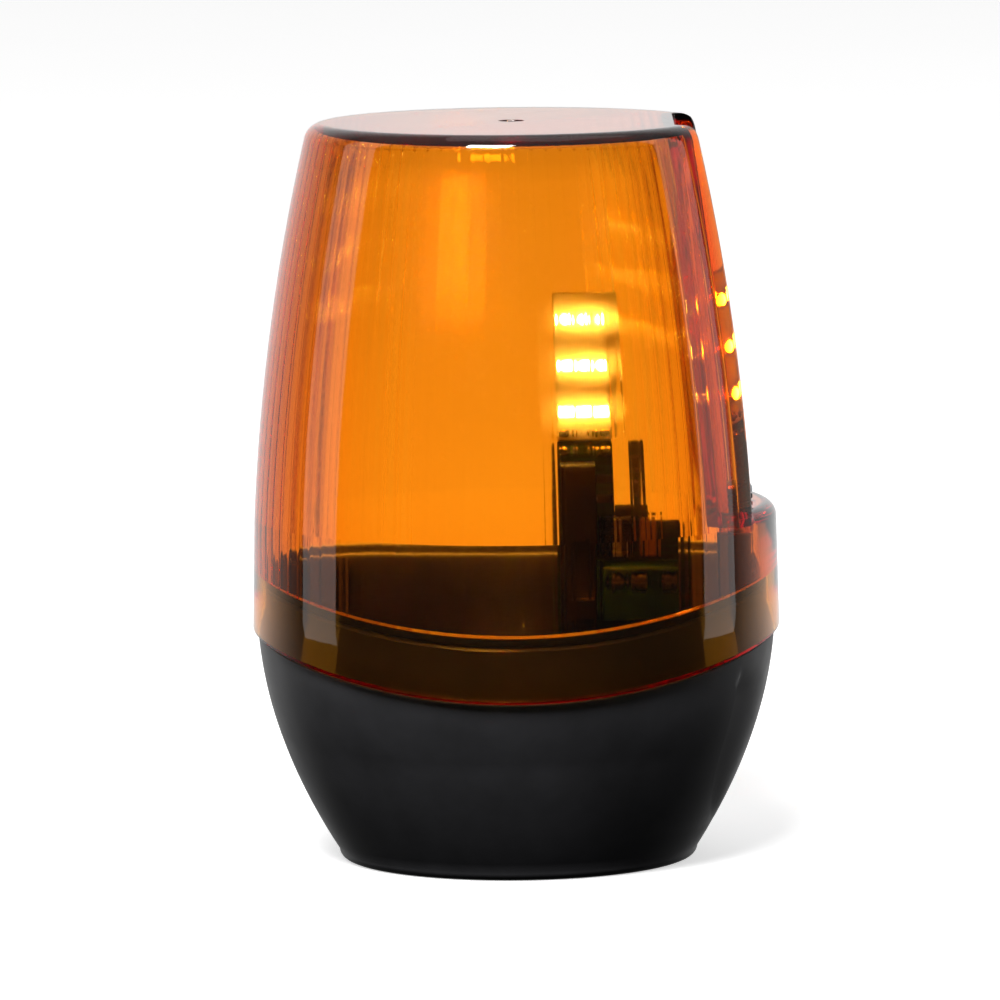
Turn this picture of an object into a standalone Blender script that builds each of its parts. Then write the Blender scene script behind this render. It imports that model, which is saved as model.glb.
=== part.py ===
# Amber LED warning light: an amber lens with a screw pocket in its side, over a black bowl-shaped base.
# Metres, +Z up, origin at the centre of the base's underside. The lens pocket faces +X.
# The lens and the base are lofted from closed outlines. Everything inside stands on the base floor.

import math

import bmesh
import bpy
from mathutils import Matrix, Vector

MM = 0.001

# Gaps between pieces
CLEAR = 0.3 * MM            # pieces that rest on or lie beside one another
SEAM_GAP = 0.6 * MM         # shadow gap between the lens and the base
SHANK_CLEAR = 0.35 * MM     # around a screw's shank
HEAD_CLEAR = 1.1 * MM       # between the lens screw's head and the pocket's back wall

# Lens
TOTAL_HEIGHT = 147.0 * MM
LENS_RADIUS = 52.5 * MM     # widest, at the skirt
LENS_WIDEST_ABOVE_SEAM = 1.7 * MM
LENS_SIDE_ARC = 412.0 * MM  # long arc of the side
LENS_TOP_ROUND = 2.8 * MM
LENS_WALL = 3.0 * MM
LENS_TOP_WALL = 2.6 * MM
LENS_TOP_INNER_ROUND = 0.6 * MM
SKIRT_WALL = 1.9 * MM
SKIRT_OVERLAP = 12.5 * MM   # from the seam up to the lip inside the lens

# Screw pocket in the lens, open at the top, with a ledge for its floor
POCKET_HALF_ANGLE = math.radians(24.5)
POCKET_TOP_DEPTH = 4.7 * MM     # from the lips in to the back wall, at the top
POCKET_WALL = 2.4 * MM
POCKET_CORNER_ROUND = 1.8 * MM
POCKET_LIP_ROUND = 1.0 * MM
LEDGE_ABOVE_LIP = 12.1 * MM
LEDGE_THICK = 2.8 * MM
LEDGE_ROUND = 2.6 * MM

# Bow-shaped seam: an arc in the YZ plane, carried straight through along X
SEAM_CREST_Z = 46.3 * MM
SEAM_CREST_Y = 8.7 * MM
SEAM_ARC = 205.0 * MM

# Base shell
BASE_STEP_IN = 0.84 * MM    # how far the base stands back from the lens
BASE_FLARE_ABOVE_SEAM = 5.2 * MM    # where the flare would reach its full width
BASE_FOOT_RADIUS = 34.5 * MM
BASE_EDGE_ROUND = 2.0 * MM
BASE_WALL = 2.4 * MM
FLOOR_THICK = 3.0 * MM
FOOT_HEIGHT = 2.5 * MM      # ring that the base stands on
FOOT_WIDTH = 3.6 * MM
COLLAR_WALL = 2.2 * MM
COLLAR_CLEAR = 0.4 * MM     # between the collar and the skirt
SEAL_HEIGHT = 1.6 * MM

# Shield-shaped recess in the base under the pocket
SHIELD_HALF_ANGLE = math.radians(31)
SHIELD_POINT_HALF_ANGLE = math.radians(6)
SHIELD_BELOW_SEAM = 4.3 * MM    # where its edge has run out at the top
SHIELD_STRAIGHT_Z = 24.0 * MM   # sides run straight up from here
SHIELD_BOTTOM_Z = 6.0 * MM
SHIELD_DEPTH = 1.3 * MM

# Lens screw, its washer and its boss
LENS_SCREW_LENGTH = 17.0 * MM
LENS_SCREW_SHANK = 3.5 * MM
LENS_SCREW_HEAD = 6.6 * MM
LENS_SCREW_HEAD_THICK = 2.4 * MM
LENS_SCREW_SLOT_DEPTH = 1.0 * MM
DRIVER_SLOT = 0.7 * MM              # width of the slot in every slotted head
LENS_WASHER_THICK = 0.9 * MM
LENS_PILLAR_LENGTH = 4.0 * MM       # tube under the ledge that lands on the boss
LENS_PILLAR_DIAMETER = 8.0 * MM
BOSS_DIAMETER = 7.4 * MM
BOSS_LENGTH = 29.0 * MM
BOSS_RIB_THICK = 2.0 * MM

# Floor openings
CABLE_HOLE_DIAMETER = 13.0 * MM
CABLE_HOLE_X = -14.0 * MM
CABLE_HOLE_BEHIND_POST = 0.6 * MM   # from the post's foot back to the grommet
CABLE_DIAMETER = 6.5 * MM
GROMMET_FLANGE = 2.2 * MM
GROMMET_FLANGE_THICK = 1.5 * MM
FIXING_HOLE_DIAMETER = 4.5 * MM
FIXING_HOLE_SPACING = 50.0 * MM     # along Y

# Boards and the post they are screwed to
BOARD_THICK = 1.6 * MM
BOARD_TO_BOSS = 6.5 * MM            # from the lens boss to the circuit board
BOARD_BESIDE_POST = 2.4 * MM        # board showing to the left of the post
CIRCUIT_BOARD_BOTTOM = 24.0 * MM
CIRCUIT_BOARD_TOP = 83.0 * MM
CIRCUIT_BOARD_NECK_WIDTH = 17.7 * MM
CIRCUIT_BOARD_NECK_Z = 67.0 * MM
ISOLATION_SLOT_FROM_LEFT = 12.5 * MM    # slot down the neck that keeps the mains side apart
ISOLATION_SLOT_WIDTH = 2.8 * MM
POST_WIDTH = 6.2 * MM
POST_DEPTH = 6.4 * MM
POST_TOP = 79.0 * MM
POST_FOOT_LENGTH = 34.0 * MM
POST_FOOT_WIDTH = 14.0 * MM
POST_FOOT_THICK = 3.0 * MM
POST_BOSS_HEIGHT = 5.0 * MM
POST_BOSS_DIAMETER = 8.0 * MM
POST_SCREW_SPACING = 24.0 * MM
POST_SCREW_BITE = 6.0 * MM          # length of shank below the foot
BOARD_SCREW_BITE = 4.4 * MM
BOARD_SCREW_HEIGHTS = {"lower": 34.0 * MM, "upper": 72.0 * MM}
SMALL_SHANK = 2.6 * MM
SMALL_HEAD = 5.0 * MM
SMALL_HEAD_THICK = 1.8 * MM

# LED board, three by three LEDs on each face
LED_BOARD_WIDTH = 13.0 * MM
LED_BOARD_HEIGHT = 29.2 * MM
LED_COLUMN_PITCH = 3.5 * MM
LED_ROW_PITCH = 9.2 * MM
LED_LOWEST_ROW = 5.7 * MM           # above the board's lower edge
LED_SIDE = 2.8 * MM
LED_BASE_THICK = 0.8 * MM
LED_DOME = 1.2 * MM
HEADER_WIDTH = 10.4 * MM
HEADER_HEIGHT = 7.4 * MM
HEADER_DEPTH = 2.5 * MM
HEADER_REACH = 3.2 * MM             # how far it reaches up beside the LED board

# Terminal block
TERMINAL_COUNT = 3
TERMINAL_PITCH = 5.08 * MM
TERMINAL_RIGHT_MARGIN = 1.4 * MM    # from the board's right edge
TERMINAL_TO_POST = 1.15 * MM
TERMINAL_BOTTOM = 48.0 * MM
TERMINAL_HEIGHT = 10.5 * MM
TERMINAL_DEPTH = 10.0 * MM
TERMINAL_SCREW_DROP = 2.9 * MM      # screw axis below the block's top
TERMINAL_HEAD = 3.6 * MM
TERMINAL_HEAD_THICK = 1.8 * MM
TERMINAL_HEAD_SUNK = 0.7 * MM
TERMINAL_SHANK = 2.4 * MM
TERMINAL_SHANK_LENGTH = 4.0 * MM
TERMINAL_SLOT_DEPTH = 0.8 * MM
WIRE_ENTRY = 3.4 * MM
WIRE_ENTRY_DEPTH = 4.6 * MM
WIRE_ENTRY_FROM_BACK = 2.0 * MM

# Parts on the circuit board
SMOOTHING_DIAMETER = 6.3 * MM
SMOOTHING_LENGTH = 8.2 * MM
SMOOTHING_FROM_POST = 1.2 * MM
PARTS_ABOVE_TERMINAL = 1.4 * MM
FILM_SIZE = Vector((3.2, 5.6, 8.0)) * MM
FILM_FROM_SMOOTHING = 1.2 * MM
RECTIFIER_SIZE = Vector((8.2, 3.3, 6.4)) * MM
RECTIFIER_PLACE = (18.5 * MM, 28.0 * MM)    # from the board's left and lower edges
CHIP_SIZE = Vector((6.4, 3.2, 9.4)) * MM
CHIP_PLACE = (16.0 * MM, 41.0 * MM)
INDUCTOR_DIAMETER = 8.0 * MM
INDUCTOR_HEIGHT = 5.5 * MM
INDUCTOR_PLACE = (18.5 * MM, 12.0 * MM)

# Smoothness of the round outlines
ARC_STEPS = 34              # from the pocket's lip round to the far side
CORNER_STEPS = 4
LIP_STEPS = 3
POCKET_COLUMNS = 1 + CORNER_STEPS + 1 + LIP_STEPS + 1
BORE_STEPS = 20


# Heights and radii worked out from the values above

def lens_radius(z):
    return LENS_RADIUS - LENS_SIDE_ARC + math.sqrt(LENS_SIDE_ARC**2 - (z - LENS_WIDEST_Z) ** 2)


def pocket_back(z):
    """Straight, leaning line from the ledge to the top."""
    high = lens_radius(TOTAL_HEIGHT) * math.cos(POCKET_HALF_ANGLE) - POCKET_TOP_DEPTH
    return POCKET_BACK + (high - POCKET_BACK) * (z - LEDGE_Z) / (TOTAL_HEIGHT - LEDGE_Z)


def seam_z(y):
    return SEAM_CREST_Z - SEAM_ARC + math.sqrt(SEAM_ARC**2 - (y - SEAM_CREST_Y) ** 2)


def base_radius(z):
    low = 1 - min(z, BASE_FLARE_HEIGHT) / BASE_FLARE_HEIGHT
    return BASE_TOP_RADIUS - (BASE_TOP_RADIUS - BASE_FOOT_RADIUS) * low**2


LENS_WIDEST_Z = SEAM_CREST_Z + LENS_WIDEST_ABOVE_SEAM
BASE_FLARE_HEIGHT = SEAM_CREST_Z + BASE_FLARE_ABOVE_SEAM
SHIELD_TOP_Z = SEAM_CREST_Z - SHIELD_BELOW_SEAM
LEDGE_Z = SEAM_CREST_Z + SKIRT_OVERLAP + LEDGE_ABOVE_LIP
BASE_TOP_RADIUS = LENS_RADIUS - BASE_STEP_IN
SKIRT_INNER = LENS_RADIUS - SKIRT_WALL
COLLAR_OUTER = SKIRT_INNER - COLLAR_CLEAR
COLLAR_INNER = COLLAR_OUTER - COLLAR_WALL
COLLAR_RISE = SKIRT_OVERLAP - SEAL_HEIGHT - 2 * CLEAR   # collar top above the seam
FLOOR_TOP = FOOT_HEIGHT + FLOOR_THICK
LEDGE_UNDER = LEDGE_Z - LEDGE_THICK
LENS_SCREW_X = COLLAR_INNER - BOSS_DIAMETER / 2 - CLEAR     # its boss stands just inside the seal
POCKET_BACK = LENS_SCREW_X - LENS_SCREW_HEAD / 2 - HEAD_CLEAR
BOSS_TOP = LEDGE_UNDER - LENS_PILLAR_LENGTH - CLEAR
LENS_WASHER_Z = LEDGE_Z + CLEAR
LENS_HEAD_Z = LENS_WASHER_Z + LENS_WASHER_THICK + CLEAR

BOARD_RIGHT = LENS_SCREW_X - BOSS_DIAMETER / 2 - BOARD_TO_BOSS
TERMINAL_RIGHT = BOARD_RIGHT - TERMINAL_RIGHT_MARGIN
TERMINAL_LEFT = TERMINAL_RIGHT - TERMINAL_COUNT * TERMINAL_PITCH
POST_X = TERMINAL_LEFT - TERMINAL_TO_POST - POST_WIDTH / 2
BOARD_LEFT = POST_X - POST_WIDTH / 2 - BOARD_BESIDE_POST
POST_SCREW_XS = {"left": POST_X - POST_SCREW_SPACING / 2, "right": POST_X + POST_SCREW_SPACING / 2}
GROMMET_RADIUS = CABLE_HOLE_DIAMETER / 2 + GROMMET_FLANGE

BOARD_FRONT = -BOARD_THICK / 2
BOARD_BACK = BOARD_THICK / 2
POST_BACK = BOARD_FRONT - CLEAR
POST_Y = POST_BACK - POST_DEPTH / 2
CABLE_HOLE_Y = POST_Y + POST_FOOT_WIDTH / 2 + CABLE_HOLE_BEHIND_POST + GROMMET_RADIUS
POST_FOOT_Z = FLOOR_TOP + POST_BOSS_HEIGHT + CLEAR
LED_BOARD_BOTTOM = CIRCUIT_BOARD_TOP + CLEAR
LED_BOARD_TOP = LED_BOARD_BOTTOM + LED_BOARD_HEIGHT
TERMINAL_BACK = BOARD_FRONT - CLEAR
TERMINAL_FRONT = TERMINAL_BACK - TERMINAL_DEPTH
TERMINAL_TOP = TERMINAL_BOTTOM + TERMINAL_HEIGHT
TERMINAL_SCREW_Z = TERMINAL_TOP - TERMINAL_SCREW_DROP


# Scene, materials and modelling helpers

def clear_scene():
    for thing in list(bpy.data.objects):
        bpy.data.objects.remove(thing, do_unlink=True)


def linear(value):
    value /= 255
    return value / 12.92 if value <= 0.04045 else ((value + 0.055) / 1.055) ** 2.4


def material(name, colour, roughness, metallic=0.0, transmission=0.0, ior=1.5):
    made = bpy.data.materials.new(name)
    made.use_nodes = True
    shader = made.node_tree.nodes["Principled BSDF"]
    channels = [linear(int(colour[i:i + 2], 16)) for i in (1, 3, 5)]
    shader.inputs["Base Color"].default_value = (*channels, 1)
    shader.inputs["Roughness"].default_value = roughness
    shader.inputs["Metallic"].default_value = metallic
    shader.inputs["Transmission Weight"].default_value = transmission
    shader.inputs["IOR"].default_value = ior
    return made


def object_from(name, mesh_maker, place=(0, 0, 0), parent=None):
    mesh = bpy.data.meshes.new(name)
    mesh_maker.to_mesh(mesh)
    mesh_maker.free()
    made = bpy.data.objects.new(name, mesh)
    made.location = place
    made.parent = parent
    bpy.context.scene.collection.objects.link(made)
    return made


def empty(name, place=(0, 0, 0), parent=None):
    made = bpy.data.objects.new(name, None)
    made.location = place
    made.parent = parent
    made.empty_display_size = 10 * MM
    bpy.context.scene.collection.objects.link(made)
    return made


def finished(thing, surface, round_piece=True):
    thing.data.materials.clear()
    thing.data.materials.append(surface)
    if round_piece:
        thing.data.shade_smooth()
        thing.data.set_sharp_from_angle(angle=math.radians(32))
    return thing


def loft(rows, ring=False):
    """Skin over rows of equally many points. A ring joins the last row to the first; else both ends are capped."""
    made = bmesh.new()
    rings = [[made.verts.new(point) for point in row] for row in rows]
    pairs = list(zip(rings, rings[1:] + rings[:1] if ring else rings[1:]))
    for low, high in pairs:
        for i in range(len(low)):
            j = (i + 1) % len(low)
            made.faces.new((low[i], low[j], high[j], high[i]))
    if not ring:
        made.faces.new(list(reversed(rings[0])))
        made.faces.new(rings[-1])
    bmesh.ops.remove_doubles(made, verts=made.verts, dist=1e-7)
    bmesh.ops.dissolve_degenerate(made, edges=made.edges, dist=1e-7)
    bmesh.ops.recalc_face_normals(made, faces=made.faces)
    return made


def box(low, high, bevel=0.0):
    """Box between two corners, with its edges rounded off by bevel."""
    made = bmesh.new()
    bmesh.ops.create_cube(made, size=1)
    low, high = Vector(low), Vector(high)
    bmesh.ops.scale(made, vec=high - low, verts=made.verts)
    bmesh.ops.translate(made, vec=(low + high) / 2, verts=made.verts)
    if bevel:
        bmesh.ops.bevel(made, geom=made.edges, offset=bevel, segments=1, affect="EDGES")
    return made


def turned(outline, along="Z", steps=BORE_STEPS):
    """Solid turned from (radius, distance) points, first and last on a flat end, along Z or along -Y."""
    turn = Matrix.Rotation(math.radians(90), 4, "X") if along == "-Y" else Matrix()
    rows = []
    for radius, distance in outline:
        angles = (2 * math.pi * i / steps for i in range(steps))
        rows.append([turn @ Vector((radius * math.cos(a), radius * math.sin(a), distance)) for a in angles])
    return loft(rows)


def tool(name, mesh_maker, place=(0, 0, 0), parent=None):
    """Shape that only cuts or joins another one."""
    made = object_from(name, mesh_maker, place, parent)
    made.hide_render = True
    made.display_type = "WIRE"
    return made


def boolean(target, other, operation):
    change = target.modifiers.new(f"{operation.title()} {other.name}", "BOOLEAN")
    change.operation = operation
    change.object = other
    change.solver = "EXACT"


def slotted(thing, diameter, depth, parent, place, along="Z"):
    """Driver slot across a screw head whose top is at place."""
    half = Vector((diameter, DRIVER_SLOT / 2, depth))
    if along == "-Y":
        half = Vector((diameter, depth, DRIVER_SLOT / 2))
    cutter = tool(f"{thing.name}_slot_cutter", box(-half, half), place, parent)
    boolean(thing, cutter, "DIFFERENCE")


# Lens

def arc_points(centre, radius, start, end, steps):
    angles = (start + (end - start) * i / steps for i in range(steps + 1))
    return [Vector((centre[0] + radius * math.cos(a), centre[1] + radius * math.sin(a))) for a in angles]


def lip_centre(z, inset, pocket_inset):
    """Centre and radius of the rounded lip where the pocket's side meets the outside, at +Y."""
    half_width = lens_radius(z) * math.sin(POCKET_HALF_ANGLE) + pocket_inset
    rounding = max(POCKET_LIP_ROUND - inset, 0.2 * MM)
    reach = lens_radius(z) - inset - rounding
    y = half_width + rounding
    return Vector((math.sqrt(reach**2 - y**2), y)), rounding


def both_halves(half):
    """Closed outline from its +Y half, which runs from the pocket's middle to the far side."""
    return half + [Vector((point.x, -point.y)) for point in reversed(half[1:-1])]


def pocket_outline(z, inset, pocket_inset):
    """Outline of the lens above the ledge, its outside and its pocket each moved into the wall."""
    lip, lip_round = lip_centre(z, inset, pocket_inset)
    lip_angle = math.atan2(lip.y, lip.x)
    back = pocket_back(z) - pocket_inset
    deep = POCKET_CORNER_ROUND + pocket_inset
    wide = min(deep, lip.x - back - 0.1 * MM)   # a shallow pocket narrows its corner round
    side = lip.y - lip_round
    half = [Vector((back, 0))]
    for x, y in arc_points((0, 0), 1, math.pi, math.pi / 2, CORNER_STEPS):
        half.append(Vector((back + wide * (1 + x), side - deep * (1 - y))))
    half += arc_points(lip, lip_round, -math.pi / 2, lip_angle, LIP_STEPS)
    half += arc_points((0, 0), lens_radius(z) - inset, lip_angle, math.pi, ARC_STEPS)[1:]
    return both_halves(half)


def round_outline(radius, inset, ledge_inset=0.0):
    """Full circle with its points in line with the pocket's; the ledge's stretch can be moved in further."""
    lip, _ = lip_centre(LEDGE_Z, inset, inset)
    lip_angle = math.atan2(lip.y, lip.x)
    last = POCKET_COLUMNS - 1
    half = arc_points((0, 0), radius - ledge_inset, 0, lip_angle * (last - 1) / last, last - 1)
    half += arc_points((0, 0), radius, lip_angle, math.pi, ARC_STEPS)
    return both_halves(half)


def at_height(outline, z):
    return [Vector((*point, z)) for point in outline]


def along_seam(outline, above):
    """Outline bent to the bow of the seam, at a height above it."""
    return [Vector((*point, seam_z(point.y) + above)) for point in outline]


def between(low, high, share):
    return [a.lerp(b, share) for a, b in zip(low, high)]


def round_steps(count):
    """Angles of a quarter turn in even steps, without its start."""
    return [math.pi / 2 * (i + 1) / count for i in range(count)]


def lens_rows():
    """Rows from the middle of the inner top, down inside, round the skirt's edge and up outside to the top."""
    inner_top = TOTAL_HEIGHT - LENS_TOP_WALL
    shoulder = inner_top - LENS_TOP_INNER_ROUND
    inside = [at_height(pocket_outline(inner_top, LENS_WALL + LENS_TOP_INNER_ROUND, POCKET_WALL), inner_top)]
    for share in (0, 0.5, 1):
        z = shoulder + share * (LEDGE_UNDER - shoulder)
        inside.append(at_height(pocket_outline(z, LENS_WALL, POCKET_WALL), z))
    inner_radius = lens_radius(LEDGE_UNDER) - LENS_WALL
    inside.append(at_height(round_outline(inner_radius, LENS_WALL), LEDGE_UNDER))
    inside.append(along_seam(round_outline(inner_radius, LENS_WALL), SKIRT_OVERLAP))
    inside.append(along_seam(round_outline(SKIRT_INNER, LENS_WALL), SKIRT_OVERLAP))
    inside.append(along_seam(round_outline(SKIRT_INNER, LENS_WALL), SEAM_GAP / 2))

    ledge_start = LEDGE_Z - LEDGE_ROUND
    edge = along_seam(round_outline(LENS_RADIUS, 0), SEAM_GAP / 2)
    level = at_height(round_outline(lens_radius(ledge_start), 0), ledge_start)
    outside = [edge, between(edge, level, 0.5), level]
    for angle in round_steps(3):
        z = ledge_start + LEDGE_ROUND * math.sin(angle)
        inset = LEDGE_ROUND * (1 - math.cos(angle))
        outside.append(at_height(round_outline(lens_radius(z), 0, inset), z))
    top_start = TOTAL_HEIGHT - LENS_TOP_ROUND
    for share in (0, 0.25, 0.5, 0.75, 1):
        z = LEDGE_Z + share * (top_start - LEDGE_Z)
        outside.append(at_height(pocket_outline(z, 0, 0), z))
    for angle in round_steps(3):
        z = top_start + LENS_TOP_ROUND * math.sin(angle)
        outside.append(at_height(pocket_outline(z, LENS_TOP_ROUND * (1 - math.cos(angle)), 0), z))
    return inside + outside


def make_lens(parent, surface):
    lens = object_from("lens", loft(lens_rows()), parent=parent)
    pillar_top = LEDGE_UNDER + LEDGE_THICK / 2
    pillar = turned([
        (LENS_PILLAR_DIAMETER / 2, LEDGE_UNDER - LENS_PILLAR_LENGTH),
        (LENS_PILLAR_DIAMETER / 2, pillar_top),
    ])
    boolean(lens, tool("lens_pillar", pillar, (LENS_SCREW_X, 0, 0), parent), "UNION")
    bore = turned([
        (LENS_SCREW_SHANK / 2 + SHANK_CLEAR, LEDGE_UNDER - LENS_PILLAR_LENGTH - CLEAR),
        (LENS_SCREW_SHANK / 2 + SHANK_CLEAR, LEDGE_Z + CLEAR),
    ])
    boolean(lens, tool("lens_bore_cutter", bore, (LENS_SCREW_X, 0, 0), parent), "DIFFERENCE")
    return finished(lens, surface)


# Base shell

def shield_half_angle(z):
    """Half the shield's width as an angle: straight sides that close in a round point near the foot."""
    if z >= SHIELD_STRAIGHT_Z:
        return SHIELD_HALF_ANGLE
    fall = min(1.0, (SHIELD_STRAIGHT_Z - z) / (SHIELD_STRAIGHT_Z - SHIELD_BOTTOM_Z))
    return max(SHIELD_HALF_ANGLE * math.sqrt(1 - fall**2), SHIELD_POINT_HALF_ANGLE)


# Columns across half of the shield, as a share of its half width and of its depth: a sharp valley just
# inside the edge that runs out smoothly towards the middle
SHIELD_COLUMNS = ((0, 0), (0.3, 0), (0.55, 0.1), (0.74, 0.36), (0.88, 0.76), (0.965, 1))


def ease(value):
    value = min(max(value, 0.0), 1.0)
    return value * value * (3 - 2 * value)


def shield_depth(z):
    fade_high = ease((SHIELD_TOP_Z - z) / (0.35 * (SHIELD_TOP_Z - SHIELD_STRAIGHT_Z)))
    fade_low = ease((z - SHIELD_BOTTOM_Z) / (0.35 * (SHIELD_STRAIGHT_Z - SHIELD_BOTTOM_Z)))
    return SHIELD_DEPTH * fade_high * fade_low


def base_row(radius_at, height_at, shielded=True):
    """Row of the base: radius_at takes a height, height_at takes a distance along Y."""
    half = []
    spread = shield_half_angle(height_at(0))
    columns = [(share * spread, depth) for share, depth in SHIELD_COLUMNS]
    columns += [(spread + (math.pi - spread) * i / ARC_STEPS, 0) for i in range(ARC_STEPS + 1)]
    for angle, depth in columns:
        z = height_at(BASE_TOP_RADIUS * math.sin(angle))
        radius = radius_at(z) - (depth * shield_depth(z) if shielded else 0)
        half.append((angle, radius))
    half += [(-angle, radius) for angle, radius in reversed(half[1:-1])]
    points = []
    for angle, radius in half:
        x, y = radius * math.cos(angle), radius * math.sin(angle)
        points.append(Vector((x, y, height_at(y))))
    return points


def level(z):
    return lambda y: z


def bowed(above):
    return lambda y: seam_z(y) + above


def mixed(low, above, share):
    """Height that goes from a level plane at share 0 to the bow of the seam at share 1."""
    return lambda y: low + share * (seam_z(y) + above - low)


def base_rows():
    """Rows from the floor, up inside, over the collar, down outside and in under the foot."""
    def inside(z):
        return min(base_radius(z) - BASE_WALL, COLLAR_INNER)

    rows = []
    for share in (0, 0.12, 0.28, 0.46, 0.66, 1):
        rows.append(base_row(inside, mixed(FLOOR_TOP, COLLAR_RISE, share)))
    rows.append(base_row(lambda z: COLLAR_OUTER, bowed(COLLAR_RISE), False))
    rows.append(base_row(lambda z: COLLAR_OUTER, bowed(-SEAM_GAP / 2), False))
    for share in (1, 0.75, 0.5, 0.25, 0):
        rows.append(base_row(base_radius, mixed(SHIELD_STRAIGHT_Z, -SEAM_GAP / 2, share)))
    for share in (0.73, 0.48, 0.3, 0.14):
        z = BASE_EDGE_ROUND + share * (SHIELD_STRAIGHT_Z - BASE_EDGE_ROUND)
        rows.append(base_row(base_radius, level(z)))
    edge = base_radius(BASE_EDGE_ROUND)
    rows.append(base_row(base_radius, level(BASE_EDGE_ROUND)))
    for angle in round_steps(2):
        radius = edge - BASE_EDGE_ROUND * (1 - math.cos(angle))
        rows.append(base_row(lambda z: radius, level(BASE_EDGE_ROUND * (1 - math.sin(angle))), False))
    foot_inner = edge - BASE_EDGE_ROUND - FOOT_WIDTH
    rows.append(base_row(lambda z: foot_inner, level(0), False))
    rows.append(base_row(lambda z: foot_inner, level(FOOT_HEIGHT), False))
    return rows


def make_base_shell(parent, surface):
    base = object_from("base_shell", loft(base_rows()), parent=parent)

    boss = turned([(BOSS_DIAMETER / 2, BOSS_TOP - BOSS_LENGTH), (BOSS_DIAMETER / 2, BOSS_TOP)])
    boolean(base, tool("lens_boss", boss, (LENS_SCREW_X, 0, 0), parent), "UNION")
    rib_top = seam_z(0) + COLLAR_RISE - CLEAR
    rib = box(
        (LENS_SCREW_X, -BOSS_RIB_THICK / 2, BOSS_TOP - BOSS_LENGTH + CLEAR),
        (COLLAR_INNER + COLLAR_WALL / 2, BOSS_RIB_THICK / 2, rib_top),
    )
    boolean(base, tool("lens_boss_rib", rib, parent=parent), "UNION")
    bore_radius = LENS_SCREW_SHANK / 2 + SHANK_CLEAR
    bore_depth = LENS_HEAD_Z - LENS_SCREW_LENGTH - CLEAR
    bore = turned([(bore_radius, bore_depth), (bore_radius, BOSS_TOP + CLEAR)])
    boolean(base, tool("lens_boss_bore_cutter", bore, (LENS_SCREW_X, 0, 0), parent), "DIFFERENCE")

    for side, x in POST_SCREW_XS.items():
        half = POST_BOSS_DIAMETER / 2
        pad = turned([(half, FLOOR_TOP - FLOOR_THICK / 2), (half, FLOOR_TOP + POST_BOSS_HEIGHT)])
        boolean(base, tool(f"post_boss_{side}", pad, (x, POST_Y, 0), parent), "UNION")
        half = SMALL_SHANK / 2 + SHANK_CLEAR
        bore = turned([(half, POST_FOOT_Z - POST_SCREW_BITE - CLEAR), (half, POST_FOOT_Z)])
        boolean(base, tool(f"post_boss_bore_{side}_cutter", bore, (x, POST_Y, 0), parent), "DIFFERENCE")

    below, above = FOOT_HEIGHT - CLEAR, FLOOR_TOP + CLEAR
    half = CABLE_HOLE_DIAMETER / 2
    place = (CABLE_HOLE_X, CABLE_HOLE_Y, 0)
    cable_hole = tool("cable_hole_cutter", turned([(half, below), (half, above)]), place, parent)
    boolean(base, cable_hole, "DIFFERENCE")
    half = FIXING_HOLE_DIAMETER / 2
    for side, y in (("front", -FIXING_HOLE_SPACING / 2), ("back", FIXING_HOLE_SPACING / 2)):
        hole = tool(f"fixing_hole_{side}_cutter", turned([(half, below), (half, above)]), (0, y, 0), parent)
        boolean(base, hole, "DIFFERENCE")
    return finished(base, surface)


def make_seal(parent, surface):
    """Square-section ring between the collar's top and the lip inside the lens."""
    rows = []
    low, high = COLLAR_RISE + CLEAR, COLLAR_RISE + CLEAR + SEAL_HEIGHT
    for radius, above in ((COLLAR_INNER, low), (COLLAR_OUTER, low), (COLLAR_OUTER, high), (COLLAR_INNER, high)):
        rows.append(base_row(lambda z: radius, bowed(above), False))
    return finished(object_from("lens_seal", loft(rows, ring=True), parent=parent), surface)


# Screws, washer and grommet

def screw_outline(head, head_thick, shank, length):
    """Pan-head screw with its head's underside at 0, pointing down."""
    return [
        (shank * 0.25, -length),
        (shank / 2, -length + shank * 0.5),
        (shank / 2, 0),
        (head / 2, 0),
        (head / 2, head_thick * 0.55),
        (head * 0.36, head_thick),
    ]


def make_lens_screw(parent, steel, rubber):
    """The parent empty stands on the screw's axis, at the underside of its head."""
    outline = screw_outline(LENS_SCREW_HEAD, LENS_SCREW_HEAD_THICK, LENS_SCREW_SHANK, LENS_SCREW_LENGTH)
    screw = object_from("lens_screw", turned(outline), parent=parent)
    slotted(screw, LENS_SCREW_HEAD, LENS_SCREW_SLOT_DEPTH, parent, (0, 0, LENS_SCREW_HEAD_THICK))
    finished(screw, steel)
    inner = LENS_SCREW_SHANK / 2 + SHANK_CLEAR
    outer = LENS_SCREW_HEAD / 2
    low, high = LENS_WASHER_Z - LENS_HEAD_Z, LENS_WASHER_Z + LENS_WASHER_THICK - LENS_HEAD_Z
    washer = object_from("lens_screw_washer", ring_solid(inner, outer, low, high), parent=parent)
    finished(washer, rubber)


def ring_solid(inner, outer, low, high, steps=BORE_STEPS):
    rows = []
    for radius, z in ((inner, low), (outer, low), (outer, high), (inner, high)):
        angles = (2 * math.pi * i / steps for i in range(steps))
        rows.append([Vector((radius * math.cos(a), radius * math.sin(a), z)) for a in angles])
    return loft(rows, ring=True)


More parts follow.
